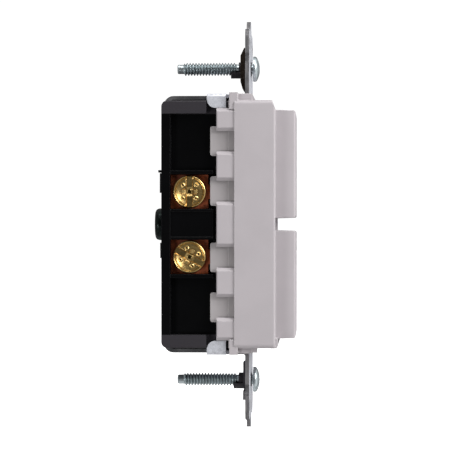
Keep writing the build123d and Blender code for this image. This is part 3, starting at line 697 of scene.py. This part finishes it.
class Shell:
    """A closed surface put together from grids whose shared borders are welded."""

    def __init__(self) -> None:
        """Start with nothing."""
        self.points: list[Array] = []
        self.faces: list[Array] = []
        self.marks: dict[str, list[Array]] = {"recess": [], "wall": []}
        self.count = 0

    def grid(self, points: Array, round_rows: bool = False, **marks: Array) -> None:
        """Add a grid of points, row by row, with a quad between each four neighbours.

        Args:
            points: Array of rows x columns x 3.
            round_rows: True if each row's end joins its start.
            marks: Number for each point, by attribute.
        """
        rows, columns = points.shape[:2]
        index = np.arange(rows * columns).reshape(rows, columns) + self.count
        if round_rows:
            index = np.concatenate([index, index[:, :1]], axis=1)
        quads = np.stack([index[:-1, :-1], index[:-1, 1:], index[1:, 1:], index[1:, :-1]], axis=-1)
        self.points.append(points.reshape(-1, 3))
        self.faces.append(quads.reshape(-1, 4))
        for name, kept in self.marks.items():
            kept.append(np.asarray(marks.get(name, np.zeros((rows, columns)))).reshape(-1))
        self.count += rows * columns

    def piece(self, name: str, material: Material, body: str | None, slot: Slot) -> bpy.types.Object:
        """Weld the grids into one mesh and give it to a body.

        Args:
            name: Name of the piece.
            material: Its material.
            body: Body that it rides on, or None to leave it on no body.
            slot: Slot of the record for its finish; not used.

        Returns:
            The piece.
        """
        mesh = bpy.data.meshes.new(name)
        mesh.from_pydata(np.concatenate(self.points).tolist(), [], np.concatenate(self.faces).tolist())
        for mark, kept in self.marks.items():
            layer = mesh.attributes.new(mark, "FLOAT", "POINT")
            layer.data.foreach_set("value", np.concatenate(kept).astype(np.float32))
        welded = bmesh.new()
        welded.from_mesh(mesh)
        bmesh.ops.remove_doubles(welded, verts=welded.verts, dist=2e-7)
        bmesh.ops.recalc_face_normals(welded, faces=welded.faces)
        welded.to_mesh(mesh)
        welded.free()
        mesh.materials.append(material)
        mesh.shade_smooth()
        mesh.set_sharp_from_angle(angle=math.radians(38))
        piece = bpy.data.objects.new(name, mesh)
        bpy.context.scene.collection.objects.link(piece)
        if body is not None:
            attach(piece, body)
        LOG.info("%s built with %d faces", name, len(mesh.polygons))
        return piece


def ring_rows(radii: Array, heights: Array, angles: Array) -> Array:
    """Grid of a turned profile: each row is a circle at one height, each column one angle."""
    cos, sin = np.cos(angles), np.sin(angles)
    flat = np.stack([radii[..., None] * cos, radii[..., None] * sin], axis=-1)
    return np.concatenate([flat, np.broadcast_to(heights[:, None, None], (len(heights), len(angles), 1))], axis=-1)


def smooth(low: float, high: float, t: Array) -> Array:
    """Smooth step of an array: 3u^2 - 2u^3, where u runs from 0 at low to 1 at high."""
    u = np.clip((t - low) / (high - low), 0, 1)
    return u * u * (3 - 2 * u)


@dataclass
class ScrewHead:
    """Round head with a stamped recess, worked out as a height over a grid of chords.

    A chord lies at each x, and its points run across the disc. Chords lie close together at the walls of the slot,
    and the points near the middle of a chord keep the same y, so the cross's walls are straight too.
    """

    radius: float
    thickness: float
    crown: float
    slot_half: float
    cross_half: float
    cross_reach: float
    slot_depth: float
    edge: float
    dish: float = 0.0
    rim: float = 0.0
    dots: bool = False
    square: float = 0.0
    grains: int = 96

    def _lines(self) -> tuple[Array, Array]:
        """Chord positions, and point positions along the middle part of a chord."""
        even = -self.radius * np.cos(np.linspace(0, np.pi, self.grains))
        step = 0.03 * MM
        walls = [s * (self.slot_half + d) for s in (-1, 1) for d in (-step, 0, step)]
        square = [s * (self.square + d) for s in (-1, 1) for d in (-step, 0)] if self.square else []
        x = np.unique(np.round(np.concatenate([even, walls, square]), 8))
        reach = self.cross_half * 1.6
        inner = np.linspace(-reach, reach, 41)
        walls = [s * (self.cross_half + d) for s in (-1, 1) for d in (-step, 0, step)]
        y = np.unique(np.round(np.concatenate([inner, walls, square]), 8))
        return x, y

    def _disc(self) -> tuple[Array, Array]:
        """Grid of chords over the disc, as arrays of x and y."""
        x, inner = self._lines()
        chord = np.sqrt(np.clip(self.radius**2 - x**2, 0, None))
        reach = inner[-1]
        squeeze = np.minimum(1.0, 0.8 * chord / reach)
        outer = np.linspace(0, 1, 26)[1:]
        middle = squeeze[:, None] * inner[None, :]
        top = (reach * squeeze)[:, None] * (1 - outer) + chord[:, None] * outer
        y = np.concatenate([-top[:, ::-1], middle, top], axis=1)
        return np.broadcast_to(x[:, None], y.shape), y

    def _height(self, x: Array, y: Array) -> tuple[Array, Array, Array]:
        """Height above the seat, depth mark for painted shade and wall mark at each point.

        The land is a flat dome less a shallow dish inside the rim. The slot and the cross are cut into it with
        sloping walls, their floors fall towards the centre, and four small rings stand round it.
        """
        r = np.hypot(x, y)
        share = np.clip(r / self.radius, 0, 1)
        land = self.thickness - self.crown * share**2
        inside = 1 - smooth(self.radius - self.rim - 0.35 * MM, self.radius - self.rim, r) if self.rim else 0 * r
        bowl = self.dish * (0.3 + 0.7 * np.clip(r / (self.radius - self.rim), 0, 1) ** 2) * inside
        height = land - bowl
        # painted dark reflection: the dish inside the rim is marked darker, least at the centre
        recess = 0.4 * inside * smooth(0.0, 0.8 * MM, r)
        step = 0.26 * MM
        in_slot = 1 - smooth(self.slot_half - step, self.slot_half, np.abs(x))
        narrow = self.cross_half * (1 - 0.35 * np.clip(np.abs(x) / self.cross_reach, 0, 1))
        in_cross = (1 - smooth(narrow - step, narrow, np.abs(y))) * (
            1 - smooth(self.cross_reach, self.cross_reach + step, np.abs(x))
        )
        slot_floor = self.thickness - self.slot_depth * (1 - 0.25 * share**2)
        cross_floor = self.thickness - self.slot_depth * (1.15 - 0.75 * np.clip(np.abs(x) / self.cross_reach, 0, 1))
        cut = np.minimum(
            np.where(in_slot > 0, height + (slot_floor - height) * in_slot, height),
            np.where(in_cross > 0, height + (np.minimum(cross_floor, height) - height) * in_cross, height),
        )
        sunk = np.maximum(in_slot, in_cross)
        # wall mark: slot walls painted in the darker wall colour, as painted shade
        wall = 4 * sunk * (1 - sunk)
        # painted shade in the slot and cross
        recess = recess * (1 - sunk) + 0.5 * sunk
        centre = 1 - smooth(self.square, 1.35 * MM, np.maximum(np.abs(x), np.abs(y)))
        height = cut - 0.35 * MM * centre * sunk
        if self.square:
            pit = (1 - smooth(self.square - 0.03 * MM, self.square, np.maximum(np.abs(x), np.abs(y))))
            height = height - 0.3 * MM * pit
            # painted shade in the square hole
            recess = np.maximum(recess, 3.0 * pit)
            wall = wall * (1 - pit)
        if self.dots:
            for turn in (45, 135, 225, 315):
                cx = 2.45 * MM * math.cos(math.radians(turn))
                cy = 2.45 * MM * math.sin(math.radians(turn))
                d = np.hypot(x - cx, y - cy)
                ring = np.exp(-(((d - 0.36 * MM) / (0.13 * MM)) ** 2))
                hole = np.exp(-((d / (0.17 * MM)) ** 2))
                height = height + 0.16 * MM * ring - 0.3 * MM * hole
                # painted shade in each ring's hole
                recess = recess * (1 - ring) + 2.0 * hole
        corner = self.radius - self.edge
        drop = self.edge - np.sqrt(np.clip(self.edge**2 - np.clip(r - corner, 0, self.edge) ** 2, 0, None))
        return height - drop, recess, wall

    def add(self, shell: Shell, axes: Axes, seat: float, throat: float) -> None:
        """Add the head to a shell, open at the throat on its underside.

        Args:
            shell: Shell to add it to.
            axes: The screw's axes.
            seat: Height of the underside along the axis.
            throat: Radius at which the shank begins.
        """
        x, y = self._disc()
        height, recess, wall = self._height(x, y)
        top = np.stack([x, y, height + seat], axis=-1)
        shell.grid(axes.place(top), recess=recess, wall=wall)
        sides = top[:, 0], top[-1, 1:-1], top[::-1, -1], top[0, -2:0:-1]
        border = np.concatenate(sides)
        border = border[np.r_[True, np.linalg.norm(np.diff(border, axis=0), axis=1) > 1e-9]]
        angle = np.arctan2(border[:, 1], border[:, 0])
        levels = np.array([border[:, 2].mean(), seat + 0.12 * MM, seat, seat])
        radii = np.array([self.radius, self.radius, self.radius - 0.12 * MM, throat])
        sides = ring_rows(radii, levels, angle)
        sides[0] = border
        shell.grid(axes.place(sides), round_rows=True)
        shell.rim_angles = angle


@dataclass
class Thread:
    """Screw shank: a profile whose radius follows a triangle wave that climbs one pitch a turn."""

    major: float
    depth: float
    pitch: float
    start: float
    end: float
    rows_per_pitch: int = 18

    def add(self, shell: Shell, axes: Axes, angles: Array, before: Sequence, after: Sequence) -> None:
        """Add the shank, closed at its far end.

        Args:
            shell: Shell to add it to.
            axes: The screw's axes.
            angles: Angle of each column.
            before: Pairs of radius and height from the head to the thread.
            after: Pairs of radius and height from the thread to the tip.
        """
        rows = int(abs(self.end - self.start) / self.pitch * self.rows_per_pitch)
        height = np.linspace(self.start, self.end, rows)
        phase = (height[:, None] / self.pitch - angles[None, :] / (2 * np.pi)) % 1.0
        crest = np.clip((0.84 - np.abs(2 * phase - 1)) / 0.7, 0, 1)
        run = np.minimum(np.abs(height - self.start), np.abs(height - self.end))
        lead = smooth(0, 0.5 * self.pitch, run)
        radius = self.major - self.depth * (1 - crest * lead[:, None])
        body = np.stack([radius * np.cos(angles), radius * np.sin(angles)], axis=-1)
        body = np.concatenate([body, np.broadcast_to(height[:, None, None], (*radius.shape, 1))], axis=-1)
        # painted shade in the thread's roots, kept in the recess mark
        marks = np.clip(1.0 - crest * 1.3, 0, 1) * lead[:, None] * 0.6
        first = ring_rows(*(np.array(v, float) for v in zip(*before)), angles)
        last = ring_rows(*(np.array(v, float) for v in zip(*after)), angles)
        shell.grid(axes.place(np.concatenate([first, body[:1]])), round_rows=True)
        shell.grid(axes.place(body), round_rows=True, recess=marks)
        shell.grid(axes.place(np.concatenate([body[-1:], last])), round_rows=True)


def coil_tube(path: Callable[[Array], Array], steps: int, radius: float, sides: int = 8) -> Array:
    """Grid of a round tube carried along a path.

    Each row is a circle square to the path's direction, found from its neighbours, and set by a fixed reference so
    that it doesn't twist. The first and last rows are points, which close the ends.

    Args:
        path: Function from an array of shares, 0 to 1, to points.
        steps: Number of rows.
        radius: Radius of the tube.
        sides: Number of points round it.

    Returns:
        Array of rows x sides x 3.
    """
    share = np.linspace(0, 1, steps)
    centre = path(share)
    along = np.gradient(centre, axis=0)
    along /= np.linalg.norm(along, axis=1, keepdims=True)
    middle = centre.mean(axis=0)
    spoke = centre - middle
    side = np.cross(along, spoke)
    side /= np.linalg.norm(side, axis=1, keepdims=True)
    normal = np.cross(side, along)
    angle = np.linspace(0, 2 * np.pi, sides, endpoint=False)
    rows = centre[:, None] + radius * (
        np.cos(angle)[None, :, None] * normal[:, None] + np.sin(angle)[None, :, None] * side[:, None]
    )
    ends = [np.broadcast_to(centre[k], (1, sides, 3)) for k in (0, -1)]
    return np.concatenate([ends[0], rows, ends[1]])


# ---- sub-assemblies


@dataclass
class Enclosure:
    """Front cover, middle housing, rear housing, strap and what is fixed to them."""

    finishes: Finishes

    def dress(self) -> None:
        """Give each moulding and stamping its finish."""
        self.finishes.dress("cover", ["front_cover"])
        self.finishes.dress("middle", ["middle_housing"])
        self.finishes.dress("case", ["rear_housing"])
        self.finishes.dress("zinc", ["mounting_strap", "assembly_screws"])
        self.finishes.dress("clip", ["grounding_clip"])
        self.finishes.dress("case", ["upper_screw_retainer", "lower_screw_retainer"])
        self.finishes.dress("faces", ["test_button", "reset_button"])
        self.finishes.dress("inner", ["upper_shutter", "lower_shutter"])
        self.finishes.dress("lens", ["light_pipe", "led"])


@dataclass
class MountingScrews:
    """The two captive screws: domed head with a combination recess, neck, rolled thread and dog point."""

    finishes: Finishes
    major: float = 1.75 * MM
    depth: float = 0.5 * MM
    pitch: float = SCREW_PITCH
    neck: float = 1.3 * MM
    dog: float = 1.25 * MM
    dog_length: float = 1.6 * MM
    neck_end: float = 2.35 * MM

    def build(self) -> None:
        """Make both screws over their nodes' boxes."""
        for row, turn in (("upper", 24.0), ("lower", -50.0)):
            node = f"{row}_mounting_screw"
            low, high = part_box(node)
            centre = (low + high) / 2
            radius = (high.z - low.z) / 2
            crown = -low.y
            seat = crown - 1.8 * MM
            tip = -high.y
            axes = Axes((centre.x, 0.0, centre.z), (1, 0, 0), (0, 0, 1), (0, -1, 0)).turned(turn)
            head = ScrewHead(radius, 1.8 * MM, 0.95 * MM, 0.5 * MM, 0.5 * MM, 1.7 * MM, 1.0 * MM, 0.4 * MM)
            shell = Shell()
            head.add(shell, axes, seat, self.neck)
            thread = Thread(self.major, self.depth, self.pitch, -self.neck_end - 0.25 * MM, tip + self.dog_length)
            before = [(self.neck, seat), (self.neck, -self.neck_end), (self.major - self.depth, -self.neck_end)]
            after = [(self.dog, tip + self.dog_length - 0.2 * MM), (self.dog, tip + 0.25 * MM)]
            after += [(self.dog - 0.25 * MM, tip), (0.0, tip)]
            thread.add(shell, axes, shell.rim_angles, before, after)
            piece = shell.piece(f"{node}_turned", self.finishes.of("screw_zinc"), node, Slot.ZINC)
            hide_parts(node)


@dataclass
class Terminals:
    """Terminal screws, plates and pressure plates of both sides."""

    finishes: Finishes
    turns: dict[str, float] = field(
        default_factory=lambda: {"line_hot": 0.0, "load_hot": 62.0, "line_neutral": 14.0, "load_neutral": -33.0}
    )
    pitch: float = SCREW_PITCH
    thread_depth: float = 0.38 * MM

    def build(self) -> None:
        """Make the four binding-head screws over their nodes' boxes."""
        for name, turn in self.turns.items():
            node = f"{name}_screw"
            hot = name.endswith("hot")
            low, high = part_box(node)
            side = -1.0 if hot else 1.0
            outer = -low.x if hot else high.x
            inner = -high.x if hot else low.x
            centre = (low + high) / 2
            radius = (high.z - low.z) / 2
            thickness = 2.2 * MM
            seat = outer - thickness
            axes = Axes((0.0, centre.y, centre.z), (0, side, 0), (0, 0, 1), (side, 0, 0)).turned(turn)
            head = ScrewHead(
                radius, thickness, 0.05 * MM, 0.98 * MM, 0.95 * MM, 2.2 * MM, 1.0 * MM, 0.4 * MM,
                dish=0.75 * MM, rim=0.42 * MM, dots=True, square=0.45 * MM, grains=120,
            )
            shell = Shell()
            head.add(shell, axes, seat, 2.0 * MM)
            thread = Thread(2.08 * MM, self.thread_depth, self.pitch, seat - 0.2 * MM, inner + 0.5 * MM)
            before = [(2.0 * MM, seat), (1.75 * MM, seat - 0.1 * MM)]
            after = [(1.4 * MM, inner), (0.0, inner)]
            thread.add(shell, axes, shell.rim_angles, before, after)
            finish, slot = ("brass_screw", Slot.BRASS) if hot else ("nickel_screw", Slot.SILVER)
            piece = shell.piece(f"{node}_turned", self.finishes.of(finish), node, slot)
            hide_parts(node)

    def dress(self) -> None:
        """Give the plates their finish."""
        self.finishes.dress("copper", ["line_hot_terminal", "load_hot_terminal"])
        self.finishes.dress("plated", ["line_neutral_terminal", "load_neutral_terminal"])
        self.finishes.dress("brass", ["line_hot_pressure_plate", "load_hot_pressure_plate"])
        self.finishes.dress("plated", ["line_neutral_pressure_plate", "load_neutral_pressure_plate"])
        self.finishes.dress("brass", ["hot_contact_bar", "neutral_contact_bar", "ground_contact_bar"])


@dataclass
class GroundScrew:
    """Ground screw on the back of the strap: smooth dark head with a combination recess."""

    finishes: Finishes

    def build(self) -> None:
        """Make the screw over its node's box."""
        node = "ground_screw"
        low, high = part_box(node)
        centre = (low + high) / 2
        radius = (high.z - low.z) / 2
        thickness = 2.7 * MM
        axes = Axes((centre.x, 0.0, centre.z), (1, 0, 0), (0, 0, -1), (0, 1, 0)).turned(20.0)
        head = ScrewHead(radius, thickness, 0.1 * MM, 0.6 * MM, 0.6 * MM, 1.9 * MM, 1.1 * MM, 1.1 * MM)
        shell = Shell()
        seat = high.y - thickness
        head.add(shell, axes, seat, 2.0 * MM)
        thread = Thread(2.04 * MM, 0.38 * MM, SCREW_PITCH, seat - 0.2 * MM, low.y + 0.5 * MM)
        before = [(2.0 * MM, seat), (1.7 * MM, seat - 0.1 * MM)]
        after = [(1.3 * MM, low.y), (0.0, low.y)]
        thread.add(shell, axes, shell.rim_angles, before, after)
        piece = shell.piece(f"{node}_turned", self.finishes.of("dark"), Body.GROUND_SCREW.value, Slot.DARK)
        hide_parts(node)


@dataclass
class Spring:
    """Compression spring over a tubular node: a helix whose end turns close up and lie flat."""

    node: str
    axis: int
    turns: float
    wire: float

    def build(self, finishes: Finishes, body: str | None = Body.HOUSING.value) -> bpy.types.Object:
        """Make the spring.

        The wire's centre turns evenly, and its height along the axis is a smooth ramp, so the pitch falls to
        nothing at both ends.

        Args:
            finishes: Finishes of the device.
            body: Body that it rides on, or None to leave it on no body.

        Returns:
            The spring.
        """
        low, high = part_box(self.node)
        centre = (low + high) / 2
        others = [k for k in range(3) if k != self.axis]
        radius = (high[others[0]] - low[others[0]]) / 2 - self.wire
        start, end = low[self.axis] + self.wire, high[self.axis] - self.wire

        def path(t: Array) -> Array:
            """Helix: angle 2 pi turns t, height a blend of t and its smooth step."""
            angle = 2 * np.pi * self.turns * t
            points = np.empty((len(t), 3))
            points[:, others[0]] = centre[others[0]] + radius * np.cos(angle)
            points[:, others[1]] = centre[others[1]] + radius * np.sin(angle)
            points[:, self.axis] = start + (end - start) * (0.35 * t + 0.65 * smooth(0.0, 1.0, t))
            return points

        shell = Shell()
        shell.grid(coil_tube(path, int(28 * self.turns), self.wire), round_rows=True)
        piece = shell.piece(f"{self.node}_wound", finishes.of("spring"), body, Slot.SPRING)
        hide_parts(self.node)
        return piece


@dataclass
class Mechanism:
    """Everything sealed inside: springs, contacts, latch, solenoid and electronics."""

    finishes: Finishes

    def build(self) -> None:
        """Make the springs and the windings."""
        self._springs()
        self._solenoid_winding()
        for node in ("differential_toroid", "neutral_toroid"):
            self._toroid_winding(node)

    def _shortening(self, node: str, axis: int, turns: float, wire: float) -> None:
        """Make a spring over a node, riding on the housing.

        Args:
            node: Node that it replaces.
            axis: 0, 1 or 2, along which it stands.
            turns: Number of turns.
            wire: Radius of its wire.
        """
        low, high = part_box(node)
        spring = Spring(node, axis, turns, wire).build(self.finishes)
        anchor = (low + high) / 2
        anchor[axis] = high[axis]
        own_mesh(spring)

    def _springs(self) -> None:
        """Buttons', shutters' and plunger's springs. The reset spring is baked in place and rides on no body."""
        self._shortening("test_spring", 1, 6.5, 0.22 * MM)
        reset = Spring("reset_spring", 1, 6.5, 0.26 * MM).build(self.finishes, None)
        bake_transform(reset)
        for row in ("upper", "lower"):
            self._shortening(f"{row}_shutter_spring", 0, 9.0, 0.14 * MM)
        self._shortening("plunger_spring", 2, 7.0, 0.17 * MM)

    def _solenoid_winding(self) -> None:
        """The coil's outer layer: a close helix of wire on the node's own cylinder."""
        low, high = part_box("coil")
        centre = (low + high) / 2
        wire = 0.16 * MM
        turns = int((high.z - low.z) / (2.05 * wire))
        shell = Shell()
        angle = np.linspace(0, 2 * np.pi, 40, endpoint=False)
        rows = turns * 8
        height = np.linspace(low.z, high.z, rows)
        wave = np.abs(np.cos(np.pi * turns * (np.linspace(0, 1, rows)[:, None] - angle[None, :] / (2 * np.pi * turns))))
        outer = (high.x - low.x) / 2 - wire * (1 - np.sqrt(np.clip(1 - (1 - wave) ** 2, 0, 1)))
        bore = 2.15 * MM
        skin = np.stack([centre.x + outer * np.cos(angle), centre.y + outer * np.sin(angle)], axis=-1)
        skin = np.concatenate([skin, np.broadcast_to(height[:, None, None], (*outer.shape, 1))], axis=-1)
        walls = ring_rows(np.array([bore, bore]), np.array([high.z, low.z]), angle) + np.array([centre.x, centre.y, 0])
        shell.grid(np.concatenate([walls[1:], skin, walls]), round_rows=True)
        piece = shell.piece("coil_wound", self.finishes.of("wire"), Body.HOUSING.value, Slot.COPPER_WIRE)
        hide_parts("coil")

    def _toroid_winding(self, node: str) -> None:
        """Winding round a toroid: wire carried round the core's section as it goes round the core."""
        low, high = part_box(node)
        centre = (low + high) / 2
        outer = (high.x - low.x) / 2
        bore = 3.6 * MM
        wire = 0.13 * MM
        ring = (outer + bore) / 2
        half_width = (outer - bore) / 2 + wire * 0.6
        half_height = (high.y - low.y) / 2 + wire * 0.6
        turns = 34

        def path(t: Array) -> Array:
            """Rounded-square loop round the section: cos and sin raised to the power 1/3, carried round 300 degrees."""
            loop = 2 * np.pi * turns * t
            sweep = math.radians(300) * t
            c, s = np.cos(loop), np.sin(loop)
            radial = ring + half_width * np.sign(c) * np.abs(c) ** 0.34
            axial = half_height * np.sign(s) * np.abs(s) ** 0.34
            return np.stack(
                [centre.x + radial * np.cos(sweep), centre.y + axial, centre.z + radial * np.sin(sweep)], axis=-1
            )

        shell = Shell()
        shell.grid(coil_tube(path, turns * 22, wire, 5), round_rows=True)
        shell.piece(f"{node}_winding", self.finishes.of("wire"), Body.HOUSING.value, Slot.COPPER_WIRE)

    def dress(self) -> None:
        """Give the inner nodes their finish."""
        self.finishes.dress("spring", ["reset_pin", "latch_slide", "plunger", "solenoid_frame", "test_contact"])
        self.finishes.dress("inner", ["contact_carrier", "bobbin"])
        self.finishes.dress("brass", ["hot_contact_arm", "neutral_contact_arm", "arm_posts", "test_arm"])
        self.finishes.dress("board", ["circuit_board"])
        self.finishes.dress("toroid", ["differential_toroid", "neutral_toroid", "control_chip", "resistors"])
        self.finishes.dress("blue", ["surge_varistor", "capacitors"])


@dataclass
class Studio:
    """Plain pale floor, soft lights and the camera square on the hot side."""

    eye: Colour = (-0.600, -0.0188, 0.0)
    aim: Colour = (0.0, 0.00595, -0.0002)
    frame_width: float = 0.12105
    sensor_mm: float = 36.0
    floor_drop: float = 0.0
    floor_half: float = 4.0
    ring_light: float = 0.95
    axis_light: float = 0.07
    back_share: float = 0.45

    def camera(self) -> None:
        """Set up the camera so that the frame's width at the aim is frame_width."""
        data = bpy.data.cameras.new("camera")
        data.sensor_width = self.sensor_mm
        reach = Vector(self.aim) - Vector(self.eye)
        data.lens = self.sensor_mm * reach.length / self.frame_width
        camera = bpy.data.objects.new("camera", data)
        camera.location = self.eye
        camera.rotation_euler = reach.to_track_quat("-Z", "Y").to_euler()
        bpy.context.scene.collection.objects.link(camera)
        bpy.context.scene.camera = camera

    def floor(self) -> None:
        """Lay the floor under the lowest point."""
        low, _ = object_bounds()
        half = self.floor_half
        corners = np.array([(-half, -half), (half, -half), (half, half), (-half, half)])
        level = low.z - self.floor_drop
        mesh = bpy.data.meshes.new("floor")
        mesh.from_pydata([(x, y, level) for x, y in corners.tolist()], [], [(0, 1, 2, 3)])
        tree = Tree("floor_paper")
        faint = tree.noise(0.004, 2.0, 0.5)
        shade = tree.blend((0.86, 0.86, 0.86), (0.9, 0.9, 0.9), faint)
        mesh.materials.append(
            tree.finish(
                {
                    "Base Color": shade,
                    "Roughness": 0.9,
                    "Emission Color": (1.0, 1.0, 1.0),
                    "Emission Strength": 0.85,
                }
            )
        )
        floor = bpy.data.objects.new("floor", mesh)
        bpy.context.scene.collection.objects.link(floor)
        for kind in ("diffuse", "glossy", "shadow"):
            setattr(floor, f"visible_{kind}", False)
        floor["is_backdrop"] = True

    def world(self) -> None:
        """White surround for the eye, and a softer one for the light, dimmer behind and along the camera's axis."""
        tree = Tree("surround", world=True)
        bpy.context.scene.world = tree.material
        where = tree.add("ShaderNodeTexCoord").outputs["Generated"]
        parts = tree.add("ShaderNodeSeparateXYZ", None, {0: where})
        aside = abs(Value(tree, parts.outputs[0]))
        ring = aside.between(0.45, 0.96, self.ring_light, self.axis_light)
        front = Value(tree, parts.outputs[1]).between(-0.8, 0.9, 1.0, self.back_share)
        seen = tree.add("ShaderNodeLightPath").outputs["Is Camera Ray"]
        strength = tree.add("ShaderNodeMix", None, {0: seen, 2: ring * front, 3: 1.05}).outputs[0]
        back = tree.add("ShaderNodeBackground", None, {"Color": (1.0, 1.0, 1.0), "Strength": strength})
        tree.add("ShaderNodeOutputWorld", None, {0: back.outputs[0]})

    def lamp(self, name: str, place: Colour, size: float, watts: float, tint: Colour = (1, 1, 1)) -> None:
        """Add a square soft light that faces the device.

        Args:
            name: Name of the light.
            place: Where it stands.
            size: Length of its side.
            watts: Its power.
            tint: Its colour.
        """
        data = bpy.data.lights.new(name, "AREA")
        data.size = size
        data.energy = watts
        data.color = tint
        lamp = bpy.data.objects.new(name, data)
        lamp.location = place
        lamp.rotation_euler = (-Vector(place)).to_track_quat("-Z", "Y").to_euler()
        bpy.context.scene.collection.objects.link(lamp)

    def build(self) -> None:
        """Set up the whole studio."""
        self.camera()
        self.floor()
        self.world()
        self.lamp("key", (-0.42, -0.62, 0.35), 0.45, 5.5)
        self.lamp("side", (-0.5, 0.33, -0.16), 0.16, 1.0)
        self.lamp("top", (-0.3, -0.1, 0.75), 0.4, 2.6)
        view = bpy.context.scene.view_settings
        view.view_transform = "Standard"
        view.look = "None"


def main() -> None:
    """Dress the device, build its new pieces and set up the studio."""
    logging.basicConfig(level=logging.INFO, format="%(name)s: %(message)s")
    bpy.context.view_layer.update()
    finishes = Finishes()
    Enclosure(finishes).dress()
    MountingScrews(finishes).build()
    terminals = Terminals(finishes)
    terminals.build()
    terminals.dress()
    GroundScrew(finishes).build()
    mechanism = Mechanism(finishes)
    mechanism.build()
    mechanism.dress()
    Studio().build()


if __name__ == "__main__":
    main()
